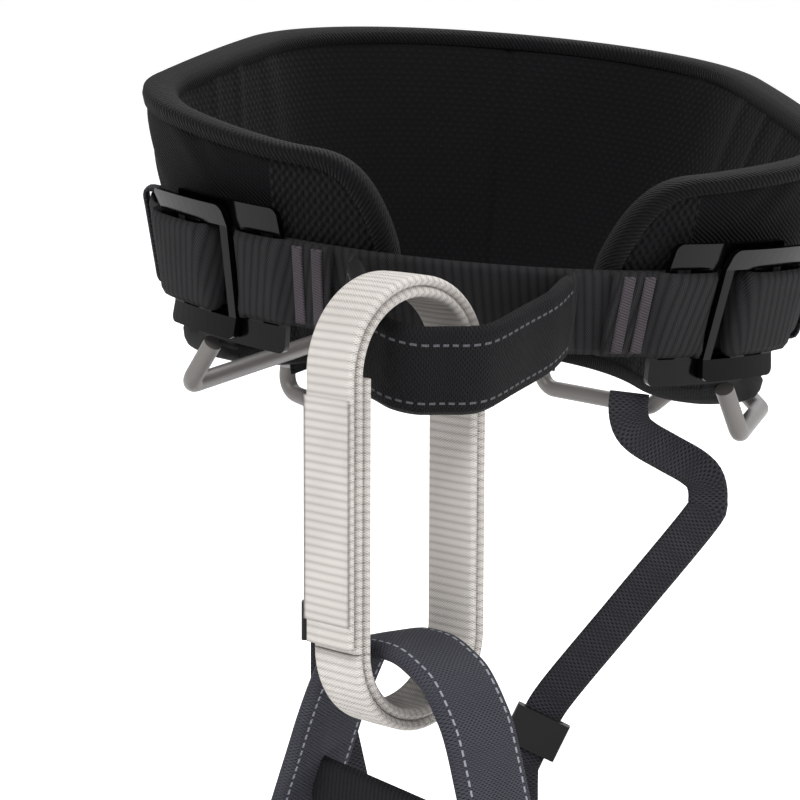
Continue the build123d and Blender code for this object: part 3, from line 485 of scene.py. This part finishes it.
def ribbon(name, route, across, width, thickness, material, body, hides=(), closed=False, crown=0.12,
           waviness=0.0):
    """Webbing along a route. across gives the width direction, fixed or worked out at each point."""
    count = len(route)
    lanes = 13
    mesh = bmesh.new()
    weave = mesh.loops.layers.uv.new("weave")
    rings, marks = [], []
    run = 0.0
    for i, spot in enumerate(route):
        before = route[(i - 1) % count] if closed or i else route[0]
        after = route[(i + 1) % count] if closed or i < count - 1 else route[-1]
        along = (after - before).normalized()
        wide = Vector(across(i, spot) if callable(across) else across)
        wide = (wide - along * wide.dot(along)).normalized()
        out = along.cross(wide)
        if i:
            run += (spot - route[i - 1]).length
        wave = waviness * math.sin(run * 90 + 0.7 * math.sin(run * 37))
        ring = []
        for side in (1, -1):
            for lane in range(lanes):
                share = (lane / (lanes - 1) * 2 - 1) * side
                edge = min(1.0, (1 - abs(share)) * width / thickness * 1.1)
                swell = math.sqrt(max(0.0, 1 - (1 - edge) ** 2)) * (1 - crown * share * share)
                if abs(share) == 1:
                    swell = 0.0 if side == 1 else None
                if swell is None:
                    continue
                place = spot + wide * (share * width / 2) + out * (side * swell * thickness / 2 + wave)
                ring.append((mesh.verts.new(place), share * width / 2))
        rings.append(ring)
        marks.append(run)
    size = len(rings[0])
    pairs = list(zip(range(count), range(1, count))) + ([(count - 1, 0)] if closed else [])
    for i, j in pairs:
        end = marks[j] if j else marks[i] + (route[0] - route[i]).length
        for k in range(size):
            k2 = (k + 1) % size
            face = mesh.faces.new([rings[i][k][0], rings[j][k][0], rings[j][k2][0], rings[i][k2][0]])
            spots = [(marks[i], rings[i][k][1]), (end, rings[j][k][1]), (end, rings[j][k2][1]),
                     (marks[i], rings[i][k2][1])]
            for loop, mark in zip(face.loops, spots):
                loop[weave].uv = mark
            face.smooth = True
    if not closed:
        for ring, mark in ((rings[0], marks[0]), (rings[-1][::-1], marks[-1])):
            face = mesh.faces.new([vert for vert, _ in ring])
            for loop, (_, v) in zip(face.loops, ring):
                loop[weave].uv = (mark, v)
    bmesh.ops.recalc_face_normals(mesh, faces=mesh.faces)
    data = bpy.data.meshes.new(name)
    mesh.to_mesh(data)
    mesh.free()
    piece = bpy.data.objects.new(name, data)
    bpy.context.scene.collection.objects.link(piece)
    data.materials.append(material)
    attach(piece, body)
    if hides:
        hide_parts(*hides)
    return piece


def belt_route(points, step=0.0012, flip=1):
    """A route along the belt given as places and offsets in millimetres."""
    spots = smooth_route([(s * mm, o * mm, 0) for s, o in points], step)
    return [belt_spot(flip * p.x, p.y, 0) for p in spots], [flip * p.x for p in spots]


def belt_across(places):
    """The way up the flared belt at each place of a route."""
    return lambda i, _: belt_spot(places[i], 0, 0.01) - belt_spot(places[i], 0, -0.01)


webbing_width, webbing_thickness = 0.0256, 0.002
round_back = [(72.3, 5), (90, 5)] + [(s, 5) for s in range(110, 480, 20)] + [(490.2, 5), (507.9, 5)]
spots, places = belt_route(round_back)
ribbon("waist_strap", spots, belt_across(places), webbing_width, webbing_thickness, webbing_cloth,
       "waist_belt", ["waist_webbing"])

fold = [
    (36, 7.2), (42, 7.2), (46.5, 7.2), (49, 8.6), (51.5, 9.8), (56, 9.9), (61, 9.8), (63.6, 8.9),
    (64.1, 7.4), (63.4, 5.8), (61, 5.0), (50, 5.0), (30, 5.0), (15, 5.0),
]
spots, places = belt_route([(-s, o) for s, o in fold] + [(0, 5)] + fold[::-1], 0.0009)
ribbon("front_strap", spots, belt_across(places), webbing_width, webbing_thickness, webbing_cloth,
       "waist_belt", ["front_webbing"])

tail_width = 0.0254
tail = [
    (72.9, 5.4), (73.2, 7.4), (73.5, 10.0), (75.5, 12.0), (80, 12.35), (90, 12.35), (94.6, 11.7), (97, 9.6),
    (99.5, 7.8), (103, 7.35), (115, 7.35), (130, 7.35), (146, 7.35),
]
for side, flip in (("left", 1), ("right", -1)):
    spots, places = belt_route(tail, flip=flip)
    ribbon(side + "_tail", spots, belt_across(places), tail_width, webbing_thickness, webbing_cloth,
           "waist_belt", [side + "_strap_tail"])


# ---- bar tacks ----
# Dense zigzag stitching in mauve-grey thread, sewn by machine through both layers of the front strap
# where its ends are folded back: two rows a side.
tack_thread = cloth("tack_thread", (24, 20, 23), (84, 78, 83), ribs,
                    {"Rib pitch": 0.0016, "Lean": 0.35, "Thread pitch": 0.0008}, 0.0005, roughness=0.7,
                    sheen=0.02)


def belt_tab(name, place, low, high, offset, width, thickness, material, body="waist_belt", hides=()):
    """A short upright ribbon that lies on the belt."""
    route = [belt_spot(place * mm, offset * mm, h * mm) for h in np.linspace(low, high, 16)]
    side = belt_spot((place + 1) * mm, 0, 0) - belt_spot((place - 1) * mm, 0, 0)
    return ribbon(name, route, side, width * mm, thickness * mm, material, body, hides)


full = 2 * belt_half / mm
tack_reach, tack_offset, tack_width, tack_thickness = 11, 8.4, 3.4, 1.2
for n, place in enumerate((39.7, 45.2, full - 39.7, full - 45.2)):
    belt_tab(f"bar_tack_{n}", place, -tack_reach, tack_reach, tack_offset, tack_width, tack_thickness,
             tack_thread, hides=["waist_bar_tacks"])


# ---- strap keepers ----
# Bands of woven elastic that hold the tails down. Each goes over the strap and its tail, is sewn into
# a ring at the back, and slides along the strap.
elastic_cloth = cloth("elastic_cloth", (20, 19, 22), (52, 51, 56), ribs,
                      {"Rib pitch": 0.0016, "Lean": 0.0, "Thread pitch": 0.0022, "Thread share": 1.0},
                      0.0002, sheen=0.02)

keeper = [
    (-13.3, 4.9), (-13.5, 7.6), (-12.4, 9.1), (-8, 9.2), (0, 9.2), (8, 9.2), (12.4, 9.1),
    (13.5, 7.6), (13.3, 4.9),
]
keeper_place, band_width, band_thickness = 0.118, 0.009, 0.0012
for side, flip in (("left", 1), ("right", -1)):
    line = smooth_route([(h * mm, o * mm, 0) for h, o in keeper], 0.001)
    route = [belt_spot(flip * keeper_place, p.y, p.x) for p in line]
    along = belt_spot(flip * (keeper_place + mm), 0, 0) - belt_spot(flip * (keeper_place - mm), 0, 0)
    ribbon(side + "_keeper", route, along, band_width, band_thickness, elastic_cloth,
           side + "_waist_keeper", [side + "_strap_keeper"])


# ---- belt tabs ----
# Short lengths of plain nylon tape, sewn to the belt strap at its lower or upper edge.
# They carry the gear loops, the haul loop and the risers.
strap_cloth = cloth("strap_cloth", (9, 9, 10), (28, 29, 31), ribs,
                    {"Rib pitch": 0.003, "Lean": 0.0, "Thread pitch": 0.0009}, 0.0003, sheen=0.02)

tab_top, tab_offset, tab_thickness = -12.8, 4.85, 1.6
gear_tab_width, riser_tab_width = 12, 7
for n, (place, low) in enumerate(((78, -24.5), (268, -56), (full - 78, -24.5), (full - 205, -56))):
    belt_tab(f"gear_tab_{n}", place, low, tab_top, tab_offset, gear_tab_width, tab_thickness, strap_cloth,
             hides=["gear_loop_tabs"])
haul_tab_offset, haul_tab_width, haul_tab_thickness = 4.65, 16, 1.2
for n, (low, high) in enumerate(((12.8, 23), (-33, tab_top))):
    belt_tab(f"haul_tab_{n}", full / 2, low, high, haul_tab_offset, haul_tab_width, haul_tab_thickness,
             strap_cloth, hides=["haul_loop_tabs"])
for n, place in enumerate((218, full - 218)):
    belt_tab(f"riser_tab_{n}", place, -53.8, tab_top, tab_offset, riser_tab_width, tab_thickness,
             strap_cloth, hides=["riser_anchors"])


# ---- upper tie-in loop ----
# Webbing sewn to the front strap in a loop, inside a hard-wearing sleeve with two rows of stitching.
# Its weight makes it dip at the front.

# Stitch rows: dashes that run along the strap at a given distance either side of its middle.
stitch, stitch_in, stitch_out = effect(
    "stitch_rows",
    [("Vector", "NodeSocketVector", None), ("Row", "NodeSocketFloat", 0.008),
     ("Dash", "NodeSocketFloat", 0.0026), ("Thread", "NodeSocketFloat", 0.00035)],
    [("Dash", "NodeSocketFloat")],
)
parts = stitch.nodes.new("ShaderNodeSeparateXYZ")
stitch.links.new(stitch_in.outputs["Vector"], parts.inputs[0])
from_row = maths(stitch, "ABSOLUTE",
                 maths(stitch, "SUBTRACT", maths(stitch, "ABSOLUTE", parts.outputs[1]),
                       stitch_in.outputs["Row"]))
on_row = maths(stitch, "LESS_THAN", from_row, stitch_in.outputs["Thread"])
beat = maths(stitch, "FRACT", maths(stitch, "DIVIDE", parts.outputs[0], stitch_in.outputs["Dash"]))
stitch.links.new(maths(stitch, "MULTIPLY", on_row, maths(stitch, "LESS_THAN", beat, 0.62)),
                 stitch_out.inputs["Dash"])

sleeve_cloth = cloth("sleeve_cloth", (6, 6, 7), (25, 24, 26), ribs,
                     {"Rib pitch": 0.0011, "Lean": 0.0, "Thread pitch": 0.0016, "Thread share": 0.8},
                     0.0002, sheen=0.02, row=0.0085, thread=(86, 84, 88))

dip = math.radians(15)
tie_up = Vector((0, -math.sin(dip), math.cos(dip)))
tie_back = Vector((0, math.cos(dip), math.sin(dip)))
tie_root = Vector((0, -waist_front, 0.0014))


def tie_route(points):
    """A route in the plane of the tie-in loop: across the wearer and back from the belt's front."""
    return smooth_route([tie_root + Vector((x * mm, 0, 0)) + tie_back * (y * mm) for x, y in points])


loop_width, loop_thickness = 0.025, 0.0024
sleeve_width, sleeve_thickness = 0.026, 0.0049
bend = [
    (22, -18), (14.5, -29.7), (7.7, -40), (2.9, -43.5), (-4, -45), (-10.5, -46.3), (-16.7, -44.7),
    (-21, -41.2), (-25, -36.8), (-27, -27.5), (-29, -17),
]
route = tie_route([(27.9, -3.4)] + bend + [(-32.6, -3.1)])
ribbon("tie_in_tape", route, tie_up, loop_width, loop_thickness, webbing_cloth, "waist_belt",
       ["tie_in_webbing"])
route = tie_route([(25.6, -8)] + bend + [(-31.4, -8)])
ribbon("tie_in_cover", route, tie_up, sleeve_width, sleeve_thickness, sleeve_cloth, "waist_belt",
       ["tie_in_sleeve"], crown=0.2, waviness=0.00012)


# ---- belay loop ----
# One length of off-white webbing wound inwards, a turn a layer, and sewn flat down the front limb.
# It hangs from the upper tie-in loop, turned and leaning a little.
belay_cloth = cloth("belay_cloth", (152, 146, 142), (214, 209, 204), ribs,
                    {"Rib pitch": 0.0044, "Lean": 0.0, "Thread pitch": 0.0010, "Thread share": 0.7}, 0.0003,
                    roughness=0.8, sheen=0.05)

turn, lean = math.radians(42), math.radians(6)
across = Vector((math.cos(turn), -math.sin(turn), 0))
inward = Vector((math.sin(turn), math.cos(turn), 0))
ring_axis = across * math.cos(lean) + up * math.sin(lean)
ring_up = up * math.cos(lean) - across * math.sin(lean)
ring_middle = Vector((-0.013, -0.145, -0.04745))
ring_straight, wrap = 0.03595, 0.0029
ring_radius = 0.026 - wrap / 2


def ring_round(radius, start):
    """Once round: up the front limb, over, down the back limb and under, to end a wrap further in."""
    draw_in = wrap / 4
    back = radius - 2 * draw_in
    line = [(-radius, y) for y in np.linspace(start, ring_straight, 64, endpoint=False)]
    line += [(-draw_in - (radius - draw_in) * math.cos(a), ring_straight + (radius - draw_in) * math.sin(a))
             for a in np.linspace(0, math.pi, 70, endpoint=False)]
    line += [(back, y) for y in np.linspace(ring_straight, -ring_straight, 64, endpoint=False)]
    line += [(draw_in + (back - draw_in) * math.cos(a), -ring_straight - (back - draw_in) * math.sin(a))
             for a in np.linspace(0, math.pi, 66)]
    return [ring_middle + inward * x + ring_up * y for x, y in line]


belay_width, sewn_width, thread_thickness = 0.018, 0.0172, 0.0003
route = ring_round(ring_radius, -0.034)
ribbon("belay_outer", route, ring_axis, belay_width, wrap, belay_cloth, "belay_ring",
       ["belay_outer_wrap"], crown=0.1)
route = ring_round(ring_radius - wrap, -0.0356)
ribbon("belay_middle", route, ring_axis, belay_width, wrap, belay_cloth, "belay_ring",
       ["belay_middle_wrap"], crown=0.1)
inner_side = inward * (2 * wrap - ring_radius)
route = [ring_middle + inner_side + ring_up * y for y in np.linspace(-0.0359, 0.0359, 64)]
ribbon("belay_inner", route, ring_axis, belay_width, wrap, belay_cloth, "belay_ring",
       ["belay_inner_wrap"], crown=0.1)
route = [ring_middle - inward * 0.0260 + ring_up * y for y in np.linspace(-0.028, 0.031, 50)]
ribbon("belay_sewing", route, ring_axis, sewn_width, thread_thickness, belay_cloth, "belay_ring",
       ["belay_stitching"])


# ---- lower tie-in arch and cross strap ----
# Sleeved webbing that arches over the belay loop's foot and carries the leg loops.
# A plain strap joins its two legs below.
lower_sleeve_cloth = cloth("lower_sleeve_cloth", (22, 22, 26), (66, 67, 74), ribs,
                           {"Rib pitch": 0.0011, "Lean": 0.0, "Thread pitch": 0.0016, "Thread share": 0.8},
                           0.0002, sheen=0.02, row=0.0095, thread=(140, 142, 150))

arch_middle = Vector((-0.013, -0.145, 0))


def arch_spot(n, z):
    """A point in the arch's own plane: across it and up, in millimetres."""
    return arch_middle + across * (n * mm) + up * (z * mm)


arch = [
    (-23, -123.3), (-19.6, -111.4), (-15.6, -100), (-11, -90.6), (-5, -87.5), (2, -84.9), (8, -83.9),
    (14, -83.8), (20, -85.5), (26, -88.3), (32, -94.5), (37, -102), (46, -122.4),
]
route = smooth_route([arch_spot(*p) for p in [(-32, -154)] + arch + [(60, -154)]])
ribbon("lower_tie_in_tape", route, inward, loop_width, loop_thickness, strap_cloth, "lower_bridge",
       ["lower_tie_in_webbing"])
route = smooth_route([arch_spot(*p) for p in [(-30.5, -149)] + arch + [(57.8, -149)]])
ribbon("lower_tie_in_cover", route, inward, sleeve_width, sleeve_thickness, lower_sleeve_cloth,
       "lower_bridge", ["lower_tie_in_sleeve"], crown=0.2, waviness=0.0001)
cross_width, cross_thickness = 0.020, 0.002
route = [arch_spot(n, -134) for n in np.linspace(-23.4, 48.4, 60)]
ribbon("cross_strap", route, up, cross_width, cross_thickness, strap_cloth, "lower_bridge",
       ["leg_cross_strap"], waviness=0.0001)


# ---- bridges ----
# Plain nylon straps, sewn into the arch's feet, that carry the leg loops.
# They turn as they go, until they lie flat on the leg's webbing.

# The leg loop's own line, which the bridges reach for: two half circles joined by straights.
leg_middle = Vector((0.072, -0.045, -0.230))
leg_r, leg_straight, leg_tilt = 0.058, 0.060, math.radians(10)
leg_up = Vector((0, math.sin(leg_tilt), math.cos(leg_tilt)))
leg_back = Vector((0, math.cos(leg_tilt), -math.sin(leg_tilt)))
leg_length = 2 * math.pi * leg_r + 2 * leg_straight


def leg_spot(place, offset, height, flip=1):
    """A point on a leg loop, walked from its front round its outer side."""
    s = place % leg_length
    quarter = leg_r * math.pi / 2
    half = leg_straight / 2
    if s < quarter:
        turn, cy = s / leg_r - math.pi / 2, -half
    elif s < quarter + leg_straight:
        turn, cy = 0, s - quarter - half
    elif s < 3 * quarter + leg_straight:
        turn, cy = (s - quarter - leg_straight) / leg_r, half
    elif s < 3 * quarter + 2 * leg_straight:
        turn, cy = math.pi, half - (s - 3 * quarter - leg_straight)
    else:
        turn, cy = math.pi + (s - 3 * quarter - 2 * leg_straight) / leg_r, -half
    x, y = (leg_r + offset) * math.cos(turn), cy + (leg_r + offset) * math.sin(turn)
    spot = leg_middle + Vector((x, 0, 0)) + leg_back * y + leg_up * height
    return Vector((flip * spot.x, spot.y, spot.z))


def bridge_route(start, start_way, start_wide, end, end_way, end_wide, ease):
    """A strap's route and turning width between two places that it leaves and meets squarely."""
    route, wide = [], []
    for t in np.linspace(0, 1, 60):
        rest = 1 - t
        spot = start * (rest * rest * (1 + 2 * t)) + end * (t * t * (3 - 2 * t))
        route.append(spot + start_way * (ease * t * rest * rest) - end_way * (ease * t * t * rest))
        wide.append(start_wide * rest * rest + end_wide * (1 - rest * rest))
    return route, wide


seat_place, seat_offset, seat_height = leg_length - 0.050, 0.00805, 0.0060
seat = leg_spot(seat_place, seat_offset, seat_height)
seat_along = (leg_spot(seat_place + mm, seat_offset, seat_height) - seat).normalized()
bridge_width, bridge_thickness = 0.0225, 0.0021
bridge_ends = (("left", (60, -154), (37, -102), 0.060), ("right", (-32, -154), (-20, -113), 0.034))
for side, end, before, ease in bridge_ends:
    flip = 1 if side == "left" else -1
    tip = arch_spot(*end)
    way = (tip - arch_spot(*before)).normalized()
    target = Vector((flip * seat.x, seat.y, seat.z))
    wide = Vector((seat_along.x, flip * seat_along.y, flip * seat_along.z))
    route, widths = bridge_route(tip, way, inward, target, -leg_up, wide, ease)
    ribbon(side + "_bridge_strap", route, lambda i, _, w=widths: w[i], bridge_width, bridge_thickness,
           strap_cloth, "lower_bridge", [side + "_bridge"])


# ---- leg loops ----
# Padded bands like the belt: mesh inside, taped edges, a strap round the outside with its free tail,
# an elastic keeper, and a tab at the back for the riser's hook.
leg_start, leg_end = 0.020, leg_length - 0.080


def leg_limits(place):
    """Bottom and top heights of a leg pad, wider on its outer side."""
    x = leg_spot(place, 0, 0).x - leg_middle.x
    half = 0.030 + 0.006 * x / 0.070 if x > 0 else 0.030 + 0.010 * x / 0.070
    return -half, half


def leg_edge():
    """The leg pad's outline: along its top and back along its bottom."""
    there = [(s, leg_limits(s)[1]) for s in np.linspace(leg_start, leg_end, 150)]
    return there + [(s, leg_limits(s)[0]) for s in np.linspace(leg_end, leg_start, 150)]


leg_columns = list(np.linspace(leg_start + 0.001, leg_end - 0.001, 260))
leg_rows = list(np.linspace(0, 1, 30))
leg_tape = [(reach, offset * 0.86 - 0.0002) for reach, offset in tape_section]
leg_strap_width, leg_strap_thickness = 0.020, 0.0018
leg_band_place = 0.1031
hook_place, hook_tape_width, hook_tape_thickness = 0.289, 0.012, 0.0016
for side, flip in (("left", 1), ("right", -1)):
    body = side + "_leg"

    def leg_face(u, v, deep, flip=flip):
        """A point on one face of the leg pad: deep is its offset at the middle, thinner at the edges."""
        low, high = leg_limits(u)
        height = low + seam_inset + (high - low - 2 * seam_inset) * v
        inside = min(height - low, high - height, u - leg_start, leg_end - u)
        share = min(1.0, max(0.0, inside / 0.009))
        ripple = 0.0003 * math.sin(u * 190) * math.sin(v * 9)
        return leg_spot(u, deep * (0.55 + 0.45 * (1 - (1 - share) ** 2)) + ripple, height, flip)

    def leg_mark(u, v):
        """Where the weave lies on the leg pad."""
        return (u, leg_limits(u)[0] * (1 - 2 * v))

    pad = surface(side + "_leg_pad", leg_columns, leg_rows, lambda u, v: leg_face(u, v, -0.0026),
                  lambda u, v: leg_face(u, v, 0.0039), leg_mark, [shell_cloth], body,
                  [side + "_leg_foam", side + "_leg_shell"])
    inner = surface(side + "_leg_mesh", leg_columns, leg_rows, lambda u, v: leg_face(u, v, -0.0041),
                    lambda u, v: leg_face(u, v, -0.0028), leg_mark, [mesh_cloth], body,
                    [side + "_leg_lining"])

    def leg_side_spot(place, offset, height, flip=flip):
        """A point on this side's leg loop."""
        return leg_spot(place, offset, height, flip)

    edge_tape(side + "_leg_tape", rounded_loop(leg_edge()), leg_side_spot, leg_tape, tape_cloth, body,
              [side + "_leg_binding"])

    lap = leg_length / mm
    folded_end = (
        (5, 4.95), (20, 4.95), (33, 4.95), (40.5, 4.95), (42.7, 5.6), (43.2, 7.0), (42.6, 8.4),
        (40.5, 8.9), (34, 8.9), (31.5, 7.9), (29, 6.8), (20, 6.75),
    )
    strap = [(49.8, 4.95), (60, 4.95)] + [(s, 4.95) for s in range(75, 480, 15)]
    strap += [(lap + s, o) for s, o in folded_end]
    tongue = [
        (50.2, 5.2), (50.5, 7.0), (50.9, 9.2), (52.6, 10.7), (56, 10.85), (62, 10.85), (65.2, 10.2),
        (67, 8.6), (69, 7.3), (72, 7.05), (90, 7.05), (109, 7.05),
    ]
    pieces = (("_leg_strap", strap, "_leg_webbing"), ("_leg_strap_tail", tongue, "_leg_tail"))
    for name, points, hidden in pieces:
        line = smooth_route([(s * mm, o * mm, 0) for s, o in points])
        route = [leg_spot(p.x, p.y, 0, flip) for p in line]
        ribbon(side + name, route, leg_up, leg_strap_width, leg_strap_thickness, strap_cloth, body,
               [side + hidden])

    leg_band = (
        (-10.9, 4.9), (-11, 7.2), (-10, 8.7), (-6, 8.8), (0, 8.8), (6, 8.8), (10, 8.7),
        (11, 7.2), (10.9, 4.9),
    )
    line = smooth_route([(h * mm, o * mm, 0) for h, o in leg_band], 0.001)
    route = [leg_spot(leg_band_place, p.y, p.x, flip) for p in line]
    ribbon(side + "_leg_band", route, leg_back, band_width, band_thickness, elastic_cloth,
           side + "_leg_keeper_band", [side + "_leg_keeper"])
    route = [leg_spot(hook_place, 0.0049, h * mm, flip) for h in np.linspace(10.4, 26, 14)]
    along = leg_spot(hook_place + mm, 0, 0, flip) - leg_spot(hook_place - mm, 0, 0, flip)
    ribbon(side + "_hook_tape", route, along, hook_tape_width, hook_tape_thickness, strap_cloth, body,
           [side + "_leg_hook_tab"])


# ---- risers ----
# Straps of woven elastic that hold the leg loops up at the back. The left one hangs slack in a bend.
# Both start at their belt tabs and lie in one plane, which slants forwards on its way down.
riser_lean = math.atan2(0.0167, 0.1515)
riser_down = Vector((0, math.sin(riser_lean), math.cos(riser_lean)))
riser_routes = {
    "left": [
        (50, 0), (50, -5.6), (51.7, -11), (55.8, -14.7), (64.5, -18.8), (73.1, -22.8), (77.4, -26.8),
        (78.8, -33.5), (76.8, -39.8), (55, -72.5), (34, -104), (29.5, -116), (25.7, -126), (25.1, -130.5),
        (27, -152.4),
    ],
    "right": [
        (-50, 0), (-47, -30), (-44.2, -58), (-42, -85), (-40.2, -107), (-39, -113),
        (-33.5, -131), (-27, -152.4),
    ],
}
riser_head = Vector((0, 0.050, -0.055))
riser_width, riser_thickness = 0.013, 0.0015
for side, points in riser_routes.items():
    route = smooth_route([riser_head + Vector((x * mm, 0, 0)) + riser_down * (w * mm) for x, w in points],
                         0.0015)
    facing = Vector((1, 0, 0)).cross(riser_down)
    ways = [(b - a).cross(facing) for a, b in zip(route, route[1:])]
    ways.append(ways[-1])
    ribbon("riser_tape_" + side, route, lambda i, _, w=ways: w[i], riser_width, riser_thickness,
           elastic_cloth, side + "_riser_strap", ["riser_" + side])


# ---- haul loop ----
# A loose loop of plain nylon tape at the middle of the back, for clipping a rope that is towed.
# Its ends are caught in the two tabs above and below.
haul = [
    (100.8, 17), (105, 16.5), (112, 13), (117, 9), (120.5, -1), (120.6, -12), (115, -19.5), (105, -25),
    (97, -26.8), (90.8, -27),
]
haul_width, haul_thickness = 0.012, 0.002
route = smooth_route([(0, y * mm, z * mm) for y, z in haul])
ribbon("haul_strap", route, (1, 0, 0), haul_width, haul_thickness, strap_cloth, "haul_tape", ["haul_loop"])


# ---- buckles, gear loops, adjusters and hooks ----
# Black-coated steel plates, warm-grey moulded plastic tubes and small black plastic parts.
# They are rigid, so their solids stay as they are and get the finish of the real piece.
steel, tree, shader = finish_of("buckle_steel", (3, 3, 4), 0.18, 0.0, 0.15)
body = tree.nodes.new("ShaderNodeTexCoord")
scuffs = tree.nodes.new("ShaderNodeTexNoise")
scuffs.inputs["Scale"].default_value = 260
tree.links.new(body.outputs["Object"], scuffs.inputs["Vector"])
span = tree.nodes.new("ShaderNodeMapRange")
span.inputs["To Min"].default_value = 0.1
span.inputs["To Max"].default_value = 0.2
tree.links.new(scuffs.outputs[0], span.inputs["Value"])
tree.links.new(span.outputs[0], shader.inputs["Roughness"])

tube_plastic, tree, shader = finish_of("tube_plastic", (96, 92, 90), 0.42, 0.0, 0.5)
body = tree.nodes.new("ShaderNodeTexCoord")
mottle = tree.nodes.new("ShaderNodeTexNoise")
mottle.inputs["Scale"].default_value = 120
tree.links.new(body.outputs["Object"], mottle.inputs["Vector"])
relief = tree.nodes.new("ShaderNodeBump")
relief.inputs["Distance"].default_value = 0.0002
relief.inputs["Strength"].default_value = 0.3
tree.links.new(mottle.outputs[0], relief.inputs["Height"])
tree.links.new(relief.outputs[0], shader.inputs["Normal"])

small_plastic, tree, shader = finish_of("small_plastic", (12, 12, 13), 0.5, 0.0, 0.3)

for name in nodes:
    if "buckle" in name:
        finish = steel
    elif name.startswith("gear_loop_"):
        finish = tube_plastic
    else:
        finish = small_plastic
    nodes[name].data.materials.clear()
    nodes[name].data.materials.append(finish)
    for face in nodes[name].data.polygons:
        face.use_smooth = name.startswith("gear_loop_")


# ---- size, floor, light and camera ----
# The harness hangs over a plain pale floor in a white surround, under three soft lamps.
# The camera looks from the front, a little from above, and leans slightly.
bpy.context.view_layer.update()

floor_height = -0.33
bpy.ops.mesh.primitive_plane_add(size=12, location=(0, 0, floor_height))
floor = bpy.context.object
floor.name = "floor"
floor_material, tree, shader = finish_of("pale_floor", (245, 245, 245), 0.9)
shader.inputs["Emission Color"].default_value = (1, 1, 1, 1)
shader.inputs["Emission Strength"].default_value = 0.45
floor.data.materials.append(floor_material)

world = bpy.data.worlds.new("studio")
bpy.context.scene.world = world
world.use_nodes = True
tree = world.node_tree
rays = tree.nodes.new("ShaderNodeLightPath")
through = maths(tree, "MAXIMUM", rays.outputs["Is Glossy Ray"], rays.outputs["Is Transmission Ray"])
seen = maths(tree, "MAXIMUM", rays.outputs["Is Camera Ray"], through)
white = tree.nodes.new("ShaderNodeBackground")
white.inputs["Color"].default_value = (1, 1, 1, 1)
white.inputs["Strength"].default_value = 1.0
fill = tree.nodes["Background"]
fill.inputs["Color"].default_value = (1, 1, 1, 1)
fill.inputs["Strength"].default_value = 0.55
choose = tree.nodes.new("ShaderNodeMixShader")
tree.links.new(seen, choose.inputs[0])
tree.links.new(fill.outputs[0], choose.inputs[1])
tree.links.new(white.outputs[0], choose.inputs[2])
tree.links.new(choose.outputs[0], tree.nodes["World Output"].inputs[0])

lit = Vector((0, -0.05, -0.06))
lamps = (
    ("key_light", (-0.7, -1.1, 1.3), 0.9, 26),
    ("side_light", (1.3, -0.6, 0.6), 0.8, 12),
    ("back_light", (0.3, 1.2, 1.2), 1.0, 14),
)
for name, spot, size, power in lamps:
    lamp = bpy.data.lights.new(name, "AREA")
    lamp.size = size
    lamp.energy = power
    holder = bpy.data.objects.new(name, lamp)
    bpy.context.scene.collection.objects.link(holder)
    holder.location = spot
    holder.rotation_euler = (lit - Vector(spot)).to_track_quat("-Z", "Y").to_euler()

azimuth, elevation, roll = math.radians(3), math.radians(13), math.radians(4.5)
right = Vector((math.cos(azimuth), math.sin(azimuth), 0))
level = math.cos(elevation)
behind = Vector((math.sin(azimuth) * level, -math.cos(azimuth) * level, math.sin(elevation)))
above = behind.cross(right)
turned_right = right * math.cos(roll) + above * math.sin(roll)
turned_up = above * math.cos(roll) - right * math.sin(roll)
camera_data = bpy.data.cameras.new("camera")
camera_data.lens = 130.5
camera_data.sensor_width = 36
camera = bpy.data.objects.new("camera", camera_data)
bpy.context.scene.collection.objects.link(camera)
frame_turn = Matrix((turned_right, turned_up, behind)).transposed().to_4x4()
looked_at, stand_off = Vector((-0.017, -0.103, -0.02915)), 0.8
camera.matrix_world = Matrix.Translation(looked_at + behind * stand_off) @ frame_turn
bpy.context.scene.camera = camera
bpy.context.scene.render.resolution_x = 800
bpy.context.scene.render.resolution_y = 800
bpy.context.scene.view_settings.view_transform = "Standard"
